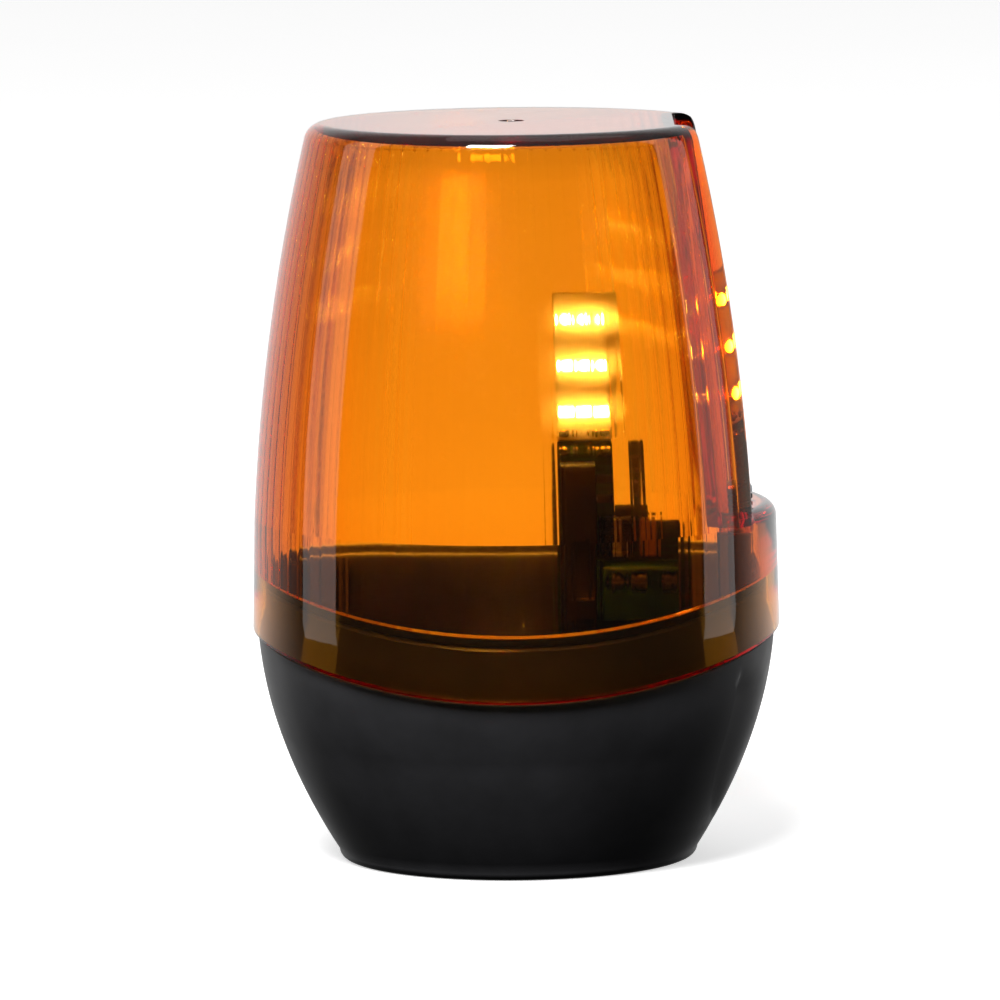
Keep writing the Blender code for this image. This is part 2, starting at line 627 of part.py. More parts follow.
def make_grommet(parent, surface):
    """Rubber bush that grips both faces of the floor, with a bore for the supply cable."""
    bore = CABLE_DIAMETER / 2
    neck = CABLE_HOLE_DIAMETER / 2 - CLEAR
    flange = GROMMET_RADIUS
    under, over = FOOT_HEIGHT - CLEAR, FLOOR_TOP + CLEAR
    outline = (
        (bore, under - GROMMET_FLANGE_THICK), (flange, under - GROMMET_FLANGE_THICK), (flange, under),
        (neck, under), (neck, over), (flange, over), (neck, over + GROMMET_FLANGE_THICK),
        (bore, over + GROMMET_FLANGE_THICK),
    )
    rows = []
    for radius, z in outline:
        angles = (2 * math.pi * i / BORE_STEPS for i in range(BORE_STEPS))
        rows.append([Vector((radius * math.cos(a), radius * math.sin(a), z)) for a in angles])
    place = (CABLE_HOLE_X, CABLE_HOLE_Y, 0)
    grommet = object_from("cable_grommet", loft(rows, ring=True), place, parent)
    return finished(grommet, surface)


# Post and boards

def make_post(parent, plastic, steel):
    foot_top = POST_FOOT_Z + POST_FOOT_THICK
    front = POST_BACK - POST_DEPTH
    half = POST_WIDTH / 2
    post = object_from("support_post", box((-half, front, foot_top - CLEAR), (half, POST_BACK, POST_TOP)), parent=parent)
    foot = box(
        (-POST_FOOT_LENGTH / 2, POST_Y - POST_FOOT_WIDTH / 2, POST_FOOT_Z),
        (POST_FOOT_LENGTH / 2, POST_Y + POST_FOOT_WIDTH / 2, foot_top),
    )
    boolean(post, tool("post_foot", foot, parent=parent), "UNION")
    for side, x in POST_SCREW_XS.items():
        place = (x - POST_X, POST_Y, foot_top + CLEAR)
        radius = SMALL_SHANK / 2 + SHANK_CLEAR
        bore = turned([(radius, -POST_FOOT_THICK - 2 * CLEAR), (radius, 0)])
        boolean(post, tool(f"post_foot_bore_{side}_cutter", bore, place, parent), "DIFFERENCE")
        length = POST_FOOT_THICK + POST_SCREW_BITE
        screw = turned(screw_outline(SMALL_HEAD, SMALL_HEAD_THICK, SMALL_SHANK, length))
        finished(object_from(f"post_screw_{side}", screw, place, parent), steel)
    for name, z in BOARD_SCREW_HEIGHTS.items():
        radius = SMALL_SHANK / 2 + SHANK_CLEAR
        deep = BOARD_THICK + BOARD_SCREW_BITE + 3 * CLEAR
        bore = turned([(radius, 0), (radius, deep)], "-Y")
        place = (0, BOARD_BACK + CLEAR, z)
        boolean(post, tool(f"post_bore_{name}_cutter", bore, place, parent), "DIFFERENCE")
    return finished(post, plastic, False)


def make_boards(parent, green, white, plastic, steel):
    """Both boards stand in one plane, the LED board above the circuit board."""
    neck = BOARD_LEFT + CIRCUIT_BOARD_NECK_WIDTH
    slot = BOARD_LEFT + ISOLATION_SLOT_FROM_LEFT
    outline = (
        (BOARD_LEFT, CIRCUIT_BOARD_BOTTOM), (BOARD_RIGHT, CIRCUIT_BOARD_BOTTOM), (BOARD_RIGHT, CIRCUIT_BOARD_NECK_Z),
        (neck, CIRCUIT_BOARD_NECK_Z), (neck, CIRCUIT_BOARD_TOP), (slot + ISOLATION_SLOT_WIDTH, CIRCUIT_BOARD_TOP),
        (slot + ISOLATION_SLOT_WIDTH, CIRCUIT_BOARD_NECK_Z), (slot, CIRCUIT_BOARD_NECK_Z), (slot, CIRCUIT_BOARD_TOP),
        (BOARD_LEFT, CIRCUIT_BOARD_TOP),
    )
    rows = [[Vector((x, y, z)) for x, z in outline] for y in (BOARD_BACK, BOARD_FRONT)]
    board = object_from("circuit_board", loft(rows), parent=parent)
    for name, z in BOARD_SCREW_HEIGHTS.items():
        radius = SMALL_SHANK / 2 + SHANK_CLEAR
        place = (POST_X, BOARD_BACK + CLEAR, z)
        bore = turned([(radius, 0), (radius, BOARD_THICK + 2 * CLEAR)], "-Y")
        boolean(board, tool(f"board_bore_{name}_cutter", bore, place, parent), "DIFFERENCE")
        shank = BOARD_THICK + BOARD_SCREW_BITE + CLEAR
        outline = [(r, -d) for r, d in screw_outline(SMALL_HEAD, SMALL_HEAD_THICK, SMALL_SHANK, shank)]
        screw = object_from(f"board_screw_{name}", turned(outline, "-Y"), place, parent)
        finished(screw, steel)
    finished(board, green, False)

    led_board = box(
        (BOARD_LEFT, BOARD_FRONT, LED_BOARD_BOTTOM),
        (BOARD_LEFT + LED_BOARD_WIDTH, BOARD_BACK, LED_BOARD_TOP),
    )
    finished(object_from("led_board", led_board, parent=parent), white, False)

    middle = BOARD_LEFT + LED_BOARD_WIDTH / 2
    header_top = LED_BOARD_BOTTOM + HEADER_REACH
    header = box(
        (middle - HEADER_WIDTH / 2, BOARD_BACK + CLEAR, header_top - HEADER_HEIGHT),
        (middle + HEADER_WIDTH / 2, BOARD_BACK + CLEAR + HEADER_DEPTH, header_top),
    )
    finished(object_from("board_header", header, parent=parent), plastic, False)


def led_mesh():
    """Square package with a shallow clear dome, facing -Y, with its back on the origin."""
    half = LED_SIDE / 2
    square = [(half, 0), (half, half), (0, half), (-half, half), (-half, 0), (-half, -half), (0, -half), (half, -half)]
    circle = [Vector((math.cos(a), math.sin(a))) for a in (math.pi / 4 * i for i in range(8))]
    rows = [[Vector((x, -depth, z)) for x, z in square] for depth in (0, LED_BASE_THICK)]
    for angle in (0, math.radians(35), math.radians(68)):
        radius, depth = LED_DOME * math.cos(angle), LED_BASE_THICK + LED_DOME * math.sin(angle) * 0.8
        rows.append([Vector((radius * c.x, -depth, radius * c.y)) for c in circle])
    return loft(rows)


def make_leds(parent, surface):
    """Rows are numbered from the bottom and columns from the left, as seen from each face."""
    middle = BOARD_LEFT + LED_BOARD_WIDTH / 2
    for face, turn, y in (("front", 0, BOARD_FRONT - CLEAR), ("back", math.pi, BOARD_BACK + CLEAR)):
        for row in range(3):
            for column in range(3):
                z = LED_BOARD_BOTTOM + LED_LOWEST_ROW + row * LED_ROW_PITCH
                x = middle + (column - 1) * LED_COLUMN_PITCH * math.cos(turn)
                led = object_from(f"led_{face}_{row + 1}{'abc'[column]}", led_mesh(), (x, y, z), parent)
                led.rotation_euler.z = turn
                finished(led, surface)


def make_terminal_block(parent, plastic, steel):
    block = object_from("terminal_block", box(
        (TERMINAL_LEFT, TERMINAL_FRONT, TERMINAL_BOTTOM),
        (TERMINAL_RIGHT, TERMINAL_BACK, TERMINAL_TOP),
    ), parent=parent)
    head_y = TERMINAL_FRONT + TERMINAL_HEAD_SUNK + TERMINAL_HEAD_THICK   # underside of each head
    well, bore = TERMINAL_HEAD / 2 + CLEAR, TERMINAL_SHANK / 2 + CLEAR
    entry_back = TERMINAL_BACK - WIRE_ENTRY_FROM_BACK
    for number in range(TERMINAL_COUNT):
        x = TERMINAL_LEFT + (number + 0.5) * TERMINAL_PITCH
        screw_axis = empty(f"terminal_screw_axis_{number + 1}", (x, head_y, TERMINAL_SCREW_Z), parent)
        hole = turned([
            (bore, -TERMINAL_SHANK_LENGTH - CLEAR), (bore, -CLEAR), (well, -CLEAR),
            (well, TERMINAL_HEAD_THICK + TERMINAL_HEAD_SUNK + CLEAR),
        ], "-Y")
        boolean(block, tool(f"terminal_well_{number + 1}_cutter", hole, parent=screw_axis), "DIFFERENCE")
        entry = box(
            (x - WIRE_ENTRY / 2, entry_back - WIRE_ENTRY, TERMINAL_BOTTOM - CLEAR),
            (x + WIRE_ENTRY / 2, entry_back, TERMINAL_BOTTOM + WIRE_ENTRY_DEPTH),
        )
        boolean(block, tool(f"wire_entry_{number + 1}_cutter", entry, parent=parent), "DIFFERENCE")
        outline = screw_outline(TERMINAL_HEAD, TERMINAL_HEAD_THICK, TERMINAL_SHANK, TERMINAL_SHANK_LENGTH)
        screw = object_from(f"terminal_screw_{number + 1}", turned(outline, "-Y"), parent=screw_axis)
        slotted(screw, TERMINAL_HEAD, TERMINAL_SLOT_DEPTH, screw_axis, (0, -TERMINAL_HEAD_THICK, 0), "-Y")
        finished(screw, steel)
    return finished(block, plastic, False)


def make_board_parts(parent, sleeve, film, black, ferrite):
    low = TERMINAL_TOP + PARTS_ABOVE_TERMINAL
    left = POST_X + POST_WIDTH / 2 + SMOOTHING_FROM_POST
    radius = SMOOTHING_DIAMETER / 2
    edge = radius * 0.9
    can = turned([
        (edge, 0), (radius, radius * 0.1), (radius, SMOOTHING_LENGTH - radius * 0.1), (edge, SMOOTHING_LENGTH),
    ])
    place = (left + radius, BOARD_FRONT - CLEAR - radius, low)
    finished(object_from("smoothing_capacitor", can, place, parent), sleeve)

    left += SMOOTHING_DIAMETER + FILM_FROM_SMOOTHING
    corner = Vector((left, BOARD_FRONT - CLEAR - FILM_SIZE.y, low))
    finished(object_from("film_capacitor", box(corner, corner + FILM_SIZE, 0.3 * MM), parent=parent), film, False)

    back = BOARD_BACK + CLEAR
    for name, size, (x, z), surface in (
        ("bridge_rectifier", RECTIFIER_SIZE, RECTIFIER_PLACE, black),
        ("control_chip", CHIP_SIZE, CHIP_PLACE, black),
    ):
        corner = Vector((BOARD_LEFT + x - size.x / 2, back, CIRCUIT_BOARD_BOTTOM + z - size.z / 2))
        made = object_from(name, box(corner, corner + size, 0.3 * MM), parent=parent)
        finished(made, surface, False)
    radius = INDUCTOR_DIAMETER / 2
    drum = turned([(radius, -INDUCTOR_HEIGHT), (radius, 0)], "-Y")
    place = (BOARD_LEFT + INDUCTOR_PLACE[0], back, CIRCUIT_BOARD_BOTTOM + INDUCTOR_PLACE[1])
    finished(object_from("power_inductor", drum, place, parent), ferrite)


def main():
    clear_scene()
    black_plastic = material("black moulded ABS", "#232324", 0.42)
    amber = material("amber polycarbonate", "#E08200", 0.06, transmission=1.0, ior=1.585)
    rubber = material("black rubber", "#141414", 0.7)
    steel = material("zinc-plated steel", "#B9BCC0", 0.3, metallic=1.0)
    green = material("green circuit board", "#1F4A2B", 0.45)
    white = material("white LED board", "#E9E7DE", 0.5)
    led = material("LED package", "#F3E7C0", 0.3)
    dark_plastic = material("black nylon", "#1A1A1A", 0.5)
    terminal_green = material("green terminal housing", "#2C6B45", 0.45)
    sleeve = material("capacitor sleeve", "#20232C", 0.35)
    film = material("film capacitor case", "#9A7B32", 0.5)
    ferrite = material("ferrite", "#3A3A3C", 0.6)

    base = empty("base_origin")
    make_base_shell(base, black_plastic)
    make_seal(base, rubber)
    make_grommet(base, rubber)
    make_post(empty("post_origin", (POST_X, 0, 0), base), dark_plastic, steel)
    make_boards(base, green, white, dark_plastic, steel)
    make_leds(base, led)
    make_terminal_block(base, terminal_green, steel)
    make_board_parts(base, sleeve, film, dark_plastic, ferrite)

    lens_slide = empty("lens_slide")
    make_lens(lens_slide, amber)
    screw_axis = empty("lens_screw_axis", (LENS_SCREW_X, 0, LENS_HEAD_Z), lens_slide)
    make_lens_screw(screw_axis, steel, rubber)


main()
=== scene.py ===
# Amber LED warning light on a black bowl-shaped base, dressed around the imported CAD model.
# Metres, +Z up, origin under the middle of the base. The screw pocket faces +X and the camera looks along +Y.
import math

import bmesh
import bpy
from mathutils import Matrix, Vector


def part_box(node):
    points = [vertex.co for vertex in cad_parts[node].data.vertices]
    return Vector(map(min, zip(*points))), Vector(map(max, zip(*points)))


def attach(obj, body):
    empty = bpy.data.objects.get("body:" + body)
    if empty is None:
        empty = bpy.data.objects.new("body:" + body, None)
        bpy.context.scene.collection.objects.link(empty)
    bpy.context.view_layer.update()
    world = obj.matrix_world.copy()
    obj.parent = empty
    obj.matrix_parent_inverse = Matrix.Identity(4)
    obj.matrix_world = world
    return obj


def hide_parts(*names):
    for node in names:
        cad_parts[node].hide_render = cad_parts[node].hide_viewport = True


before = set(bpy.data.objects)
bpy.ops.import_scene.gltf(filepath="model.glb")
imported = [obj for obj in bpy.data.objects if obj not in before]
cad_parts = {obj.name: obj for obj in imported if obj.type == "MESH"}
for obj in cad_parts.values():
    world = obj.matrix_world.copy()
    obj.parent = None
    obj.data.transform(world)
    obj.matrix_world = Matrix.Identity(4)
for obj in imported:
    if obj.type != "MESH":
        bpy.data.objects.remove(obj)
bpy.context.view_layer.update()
scene = bpy.context.scene
mm = 0.001


# ---- small helpers for shader nodes

def linear(code):
    """sRGB hex to the linear colour that the sockets take."""
    parts = [int(code[i:i + 2], 16) / 255 for i in (1, 3, 5)]
    return [p / 12.92 if p <= 0.04045 else ((p + 0.055) / 1.055) ** 2.4 for p in parts] + [1.0]


def add(tree, kind, settings=None, links=None):
    """One node with its settings and what feeds its inputs."""
    made = tree.nodes.new("ShaderNode" + kind)
    for name, value in (settings or {}).items():
        if isinstance(name, str) and hasattr(made, name):
            setattr(made, name, value)
        else:
            made.inputs[name].default_value = value
    for name, source in (links or {}).items():
        tree.links.new(source, made.inputs[name])
    return made


def ramp(tree, factor, low, high, start=0.3, end=0.7):
    """Runs from one colour or one number to another across part of a 0 to 1 input."""
    if isinstance(low, str):
        made = add(tree, "ValToRGB", links={"Fac": factor})
        for stop, place, code in zip(made.color_ramp.elements, (start, end), (low, high)):
            stop.position, stop.color = place, linear(code)
        return made.outputs["Color"]
    settings = {"From Min": start, "From Max": end, "To Min": low, "To Max": high}
    return add(tree, "MapRange", settings, {"Value": factor}).outputs["Result"]


def surface(name, shader=None, colour=None, grain=40.0, roughness=None, bump=None, detail=4.0):
    """Principled material: noise of grain bumps a metre-scaled size drives its colour, roughness and relief."""
    made = bpy.data.materials.new(name)
    made.use_nodes = True
    tree = made.node_tree
    main = tree.nodes["Principled BSDF"]
    for socket, value in (shader or {}).items():
        main.inputs[socket].default_value = value
    place = add(tree, "TexCoord").outputs["Object"]
    noise = add(tree, "TexNoise", {"Scale": 1000 / grain, "Detail": detail, "Roughness": 0.6}, {"Vector": place})
    if colour:
        tree.links.new(ramp(tree, noise.outputs["Fac"], *colour), main.inputs["Base Color"])
    if roughness:
        tree.links.new(ramp(tree, noise.outputs["Fac"], *roughness), main.inputs["Roughness"])
    if bump:
        size, height = bump
        fine = add(tree, "TexNoise", {"Scale": 1000 / size, "Detail": 3.0}, {"Vector": place})
        raised = add(tree, "Bump", {"Strength": 1.0, "Distance": height * mm}, {"Height": fine.outputs["Fac"]})
        tree.links.new(raised.outputs["Normal"], main.inputs["Normal"])
    return made, tree, main, place


# ---- materials; each size is in millimetres

# Mirror-clear moulded wall: soft boxes show as clean streaks, and thick glass-like edges go deep red
amberLook = {
    "absorption": (0.9946, 0.757, 0.0), "density": 920.0,   # a 3 mm wall is yellow amber, 20 mm of it is red
    "outerRoughness": 0.02, "frostRoughness": 0.4, "ior": 1.585,
    "haze": 0.8, "hazeRoughness": 0.3,                      # share and spread of the wall's soft scatter
}


def amberPolycarbonate():
    made, tree, main, place = surface(
        "injection-moulded amber polycarbonate",
        {"Transmission Weight": 1.0, "IOR": amberLook["ior"]},
        colour=("#F8F7F6", "#FBFAF9"), grain=25.0, bump=(9.0, 0.012))
    flute = add(tree, "Attribute", {"attribute_name": "fluted"}).outputs["Fac"]
    dust = add(tree, "TexNoise", {"Scale": 900.0, "Detail": 5.0, "Roughness": 0.7}, {"Vector": place})
    haze = ramp(tree, dust.outputs["Fac"], 0.0, 0.03, 0.45, 0.75)
    base = ramp(tree, flute, amberLook["outerRoughness"], amberLook["frostRoughness"], 0.0, 1.0)
    total = add(tree, "Math", {"operation": "ADD"}, {0: base, 1: haze})
    tree.links.new(total.outputs[0], main.inputs["Roughness"])
    colour = [*amberLook["absorption"], 1.0]
    volume = add(tree, "VolumeAbsorption", {"Color": colour, "Density": amberLook["density"]})
    output = tree.nodes["Material Output"]
    tree.links.new(volume.outputs[0], output.inputs["Volume"])
    # the ribbed inside also scatters a little forwards, which puts a soft glow round each LED
    scatter = add(tree, "BsdfRefraction", {"Color": (1, 1, 1, 1), "Roughness": amberLook["hazeRoughness"], "IOR": amberLook["ior"]})
    share = add(tree, "Math", {"operation": "MULTIPLY", 1: amberLook["haze"]}, {0: flute})
    blend = add(tree, "MixShader", links={0: share.outputs[0], 1: main.outputs[0], 2: scatter.outputs[0]})
    tree.links.new(blend.outputs[0], output.inputs["Surface"])
    return made


def blackAbs():
    # fine spark-eroded mould grain: broad soft sheen with a dull light edge, never a sharp mirror
    made, tree, main, place = surface(
        "spark-textured black ABS", {"IOR": 1.53},
        colour=("#38383A", "#424245"), grain=14.0, roughness=(0.34, 0.46), bump=(0.35, 0.006))
    return made


def turnedSteel(name, low, high, roughness):
    made, tree, main, place = surface(
        name, {"Metallic": 1.0}, colour=(low, high), grain=0.8, roughness=roughness, bump=(0.12, 0.004))
    return made


amber = amberPolycarbonate()
blackPlastic = blackAbs()
# slightly waxy and matt, with a soft rolled edge
rubber, *_ = surface("moulded black EPDM rubber", {"IOR": 1.5}, ("#121212", "#1B1B1A"), 3.0, (0.62, 0.8), (0.3, 0.01))
nylon, *_ = surface("glass-filled black nylon", {"IOR": 1.53}, ("#141312", "#211F1D"), 2.0, (0.4, 0.55), (0.4, 0.01))
# cool silver with fine turning marks
steel = turnedSteel("zinc-plated turned steel", "#A9ADB2", "#C9CCD0", (0.24, 0.36))
tin = turnedSteel("bright tinned copper", "#B9BABB", "#DADBDB", (0.18, 0.3))
# warm white with a faint weave, brightly lit by the LEDs
whiteMask, *_ = surface("white solder mask on aluminium", {"IOR": 1.5}, ("#DCDAD2", "#EFEDE6"), 1.5, (0.35, 0.5), (0.5, 0.004))
greenNylon, *_ = surface("moulded green polyamide", {"IOR": 1.53}, ("#1E5A38", "#2A6B45"), 3.0, (0.35, 0.5), (0.3, 0.008))
sleeve, *_ = surface("shrunk black PET sleeve", {"IOR": 1.57}, ("#16181F", "#20232C"), 2.0, (0.2, 0.34), (0.9, 0.01))
sleeveStripe, *_ = surface("grey printed PET sleeve", {"IOR": 1.57}, ("#8C8F95", "#A3A6AB"), 2.0, (0.25, 0.4), (0.9, 0.01))
aluminium = turnedSteel("pressed bare aluminium", "#C3C5C8", "#D8DADC", (0.25, 0.38))
filmCase, *_ = surface("potted yellow film capacitor case", {"IOR": 1.5}, ("#8E6C1E", "#A8842F"), 2.5, (0.4, 0.55), (0.5, 0.01))
moulding, *_ = surface("black epoxy moulding compound", {"IOR": 1.55}, ("#161617", "#202021"), 0.9, (0.5, 0.65), (0.15, 0.008))
ferrite, *_ = surface("sintered grey ferrite", {"IOR": 1.9}, ("#2D2D30", "#3F3F42"), 0.7, (0.5, 0.7), (0.3, 0.015))
copperWire = turnedSteel("enamelled copper winding", "#B26A35", "#C9814A", (0.2, 0.32))
ledBody, *_ = surface("white PPA LED housing", {"IOR": 1.6}, ("#DDDBD3", "#EAE8E1"), 0.8, (0.35, 0.5), (0.2, 0.004))


def greenBoard():
    # tracks show as slightly raised, slightly lighter lines under a glossy green mask
    made, tree, main, place = surface(
        "green solder mask on glass epoxy", {"IOR": 1.55}, grain=3.0, roughness=(0.28, 0.42))
    turn = add(tree, "Mapping", {"Rotation": (math.radians(90), 0, 0)}, {"Vector": place})
    tracks = add(tree, "TexBrick", {
        "offset": 0.37, "squash": 1.8, "squash_frequency": 3, "Scale": 1.0, "Mortar Size": 0.00014,
        "Mortar Smooth": 0.1, "Brick Width": 0.0062, "Row Height": 0.0013, "Bias": -0.2,
        "Color1": linear("#143A20"), "Color2": linear("#174225"), "Mortar": linear("#225A33"),
    }, {"Vector": turn.outputs["Vector"]})
    weave = add(tree, "TexNoise", {"Scale": 700.0, "Detail": 2.0}, {"Vector": place})
    shade = ramp(tree, weave.outputs["Fac"], "#D8D8D8", "#FFFFFF")
    mixed = add(tree, "Mix", {"data_type": "RGBA", "blend_type": "MULTIPLY", 0: 1.0},
                {6: tracks.outputs["Color"], 7: shade})
    tree.links.new(mixed.outputs[2], main.inputs["Base Color"])
    raised = add(tree, "Bump", {"Strength": 1.0, "Distance": 0.03 * mm}, {"Height": tracks.outputs["Fac"]})
    tree.links.new(raised.outputs["Normal"], main.inputs["Normal"])
    return made


ledLook = {"glow": "#FFE2A8", "strength": 240.0}    # warm white, far over the paper white


def phosphorDome():
    # cast silicone over phosphor: white-hot in the middle, so it clips, and grainy when unlit
    made, tree, main, place = surface(
        "cast phosphor silicone", {"IOR": 1.43, "Emission Strength": ledLook["strength"]},
        colour=("#E9C65A", "#F4DC86"), grain=0.5, roughness=(0.2, 0.35))
    grains = add(tree, "TexVoronoi", {"Scale": 6000.0}, {"Vector": place})
    tree.links.new(ramp(tree, grains.outputs["Distance"], ledLook["glow"], "#FFF3D6", 0.0, 0.6),
                   main.inputs["Emission Color"])
    return made


greenMask = greenBoard()
phosphor = phosphorDome()
clearSilicone, *_ = surface("clear cast silicone", {"Transmission Weight": 1.0, "IOR": 1.41},
                            ("#FAFAF4", "#FFFFFF"), 0.5, (0.02, 0.05), (0.3, 0.003))


# ---- mesh helpers

def arc(centre, radius, start, end, steps):
    turns = (start + (end - start) * i / steps for i in range(steps + 1))
    return [Vector((centre[0] + radius * math.cos(a), centre[1] + radius * math.sin(a))) for a in turns]


def quarter(count):
    """Angles of a quarter turn in even steps, without its start."""
    return [math.pi / 2 * (i + 1) / count for i in range(count)]


def addLoft(mesh, rows, slot=0, ring=False):
    """Skin over rows of points. A row of one point closes to a tip; open ends are capped unless it is a ring."""
    made = [[mesh.verts.new(point) for point in row] for row in rows]
    faces = []
    for low, high in zip(made, made[1:] + (made[:1] if ring else [])):
        count = max(len(low), len(high))
        for i in range(count):
            j = (i + 1) % count
            corners = (low[i % len(low)], low[j % len(low)], high[j % len(high)], high[i % len(high)])
            corners = list(dict.fromkeys(corners))
            if len(corners) > 2:
                faces.append(mesh.faces.new(corners))
    if not ring:
        faces += [mesh.faces.new(row) for row in (made[0][::-1], made[-1]) if len(row) > 2]
    for face in faces:
        face.material_index = slot
    return [vert for row in made for vert in row]


def addTurned(mesh, outline, place=(0, 0, 0), along="Z", steps=48, slot=0, ring=False):
    """Turned from (radius, distance) points along Z, Y or -Y."""
    turn = {"Z": Matrix(), "-Y": Matrix.Rotation(math.pi / 2, 4, "X"), "Y": Matrix.Rotation(-math.pi / 2, 4, "X")}[along]
    move = Matrix.Translation(Vector(place)) @ turn
    rows = []
    for radius, distance in outline:
        count = steps if radius > 1e-7 else 1
        rows.append([move @ Vector((*p, distance)) for p in arc((0, 0), radius, 0, 2 * math.pi, steps)[:count]])
    return addLoft(mesh, rows, slot, ring)


def addBox(mesh, low, high, bevel=0.0, slot=0, segments=3):
    low, high = Vector(low), Vector(high)
    verts = bmesh.ops.create_cube(mesh, size=1)["verts"]
    bmesh.ops.scale(mesh, vec=high - low, verts=verts)
    bmesh.ops.translate(mesh, vec=(low + high) / 2, verts=verts)
    for face in {face for vert in verts for face in vert.link_faces}:
        face.material_index = slot
    if bevel:
        edges = list({edge for vert in verts for edge in vert.link_edges})
        bmesh.ops.bevel(mesh, geom=edges, offset=bevel, segments=segments, profile=0.5, affect="EDGES")


def softened(outline, radius, steps=4):
    """Turning outline with each inner corner rounded by up to radius."""
    points = [Vector(p) for p in outline]
    made = [points[0]]
    for before, corner, after in zip(points, points[1:], points[2:]):
        reach = min(radius, (before - corner).length * 0.49, (after - corner).length * 0.49)
        start = corner + (before - corner).normalized() * reach
        end = corner + (after - corner).normalized() * reach
        for i in range(steps + 1):
            t = i / steps
            made.append(start * (1 - t) ** 2 + corner * 2 * t * (1 - t) + end * t * t)
    return made + [points[-1]]


def cleaned(mesh):
    bmesh.ops.remove_doubles(mesh, verts=mesh.verts, dist=1e-7)
    bmesh.ops.dissolve_degenerate(mesh, edges=mesh.edges, dist=1e-7)
    bmesh.ops.recalc_face_normals(mesh, faces=mesh.faces)


def piece(name, mesh, looks, body, node, smooth=34, cuts=(), more=None):
    """Turns a mesh under construction into the piece that stands for a CAD node. Shapes in more aren't cut."""
    cleaned(mesh)
    made = bpy.data.objects.new(name, bpy.data.meshes.new(name))
    mesh.to_mesh(made.data)
    mesh.free()
    scene.collection.objects.link(made)
    for look in looks:
        made.data.materials.append(look)
    helpers = []
    for kind, cutter in cuts:
        bmesh.ops.recalc_face_normals(cutter, faces=cutter.faces)
        other = bpy.data.objects.new(name + "Tool", bpy.data.meshes.new(name + "Tool"))
        cutter.to_mesh(other.data)
        cutter.free()
        scene.collection.objects.link(other)
        change = made.modifiers.new(kind.title(), "BOOLEAN")
        change.operation, change.object, change.solver = kind, other, "EXACT"
        helpers.append(other)
    if helpers:
        bpy.context.view_layer.update()
        whole = bpy.data.meshes.new_from_object(made.evaluated_get(bpy.context.evaluated_depsgraph_get()))
        made.modifiers.clear()
        made.data = whole
        for other in helpers:
            bpy.data.objects.remove(other)
    if more:
        cleaned(more)
        both, spare = bmesh.new(), bpy.data.meshes.new("spare")
        more.to_mesh(spare)
        more.free()
        both.from_mesh(made.data)
        both.from_mesh(spare)
        both.to_mesh(made.data)
        both.free()
        bpy.data.meshes.remove(spare)
    made.data.shade_smooth()
    made.data.set_sharp_from_angle(angle=math.radians(smooth))
    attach(made, body)
    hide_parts(node)
    return made


def span(node):
    low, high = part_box(node)
    return low, high, (low + high) / 2


def turnedCutter(*args, **kwargs):
    cutter = bmesh.new()
    addTurned(cutter, *args, **kwargs)
    return cutter


def boxCutter(low, high, bevel=0.0):
    cutter = bmesh.new()
    addBox(cutter, low, high, bevel)
    return cutter


# ---- the seam between lens and base, and the outlines that share it

seam = {"crestZ": 46.3, "crestY": 8.7, "arc": 205.0, "gap": 0.6}       # bow in the YZ plane
lensSize = {
    "sideArc": 412.0, "widestZ": 48.0, "wall": 3.0, "topWall": 2.6, "topRound": 2.8,
    "skirtWall": 1.9, "overlap": 12.5, "skirtEdge": 0.35,
    "pocketHalf": 24.5, "pocketTopDepth": 4.7, "pocketWall": 2.4, "cornerRound": 1.8, "lipRound": 1.0,
    "ledgeThick": 2.8, "ledgeRound": 2.6, "pocketBack": 39.6,
    "flutesPerSide": 18, "fluteDepth": 0.006, "rearDepth": 0.8, "grooveDepth": 0.05, "fluteSteps": 14,   # ribs, deeper at the back
}
lensLow, lensHigh, lensMid = span("lens")
lensRadius0 = lensHigh.y - 0.01 * mm
topZ = lensHigh.z - 0.01 * mm
ledgeZ = (seam["crestZ"] + lensSize["overlap"] + 12.1) * mm
ledgeUnder = ledgeZ - lensSize["ledgeThick"] * mm
skirtInner = lensRadius0 - lensSize["skirtWall"] * mm
pocketHalf = math.radians(lensSize["pocketHalf"])


def lensRadius(z):
    side = lensSize["sideArc"] * mm
    return lensRadius0 - side + math.sqrt(side**2 - (z - lensSize["widestZ"] * mm) ** 2)


def seamZ(y):
    bow = seam["arc"] * mm
    return seam["crestZ"] * mm - bow + math.sqrt(bow**2 - (y - seam["crestY"] * mm) ** 2)


def pocketBack(z):
    low = lensSize["pocketBack"] * mm
    high = lensRadius(topZ) * math.cos(pocketHalf) - lensSize["pocketTopDepth"] * mm
    return low + (high - low) * (z - ledgeZ) / (topZ - ledgeZ)


def lipCentre(z, inset, pocketInset):
    halfWidth = lensRadius(z) * math.sin(pocketHalf) + pocketInset
    rounding = max(lensSize["lipRound"] * mm - inset, 0.2 * mm)
    reach = lensRadius(z) - inset - rounding
    y = halfWidth + rounding
    return Vector((math.sqrt(reach**2 - y**2), y)), rounding


def bothHalves(half, other=None):
    """Closed outline from its +Y half and the half that is mirrored to -Y."""
    return half + [Vector((p.x, -p.y)) for p in reversed((other or half)[1:-1])]


def ease(value):
    value = min(max(value, 0.0), 1.0)
    return value * value * (3 - 2 * value)


arcSteps = lensSize["flutesPerSide"] * lensSize["fluteSteps"]
cornerSteps, lipSteps = 8, 6
pocketColumns = 1 + cornerSteps + 1 + lipSteps + 1


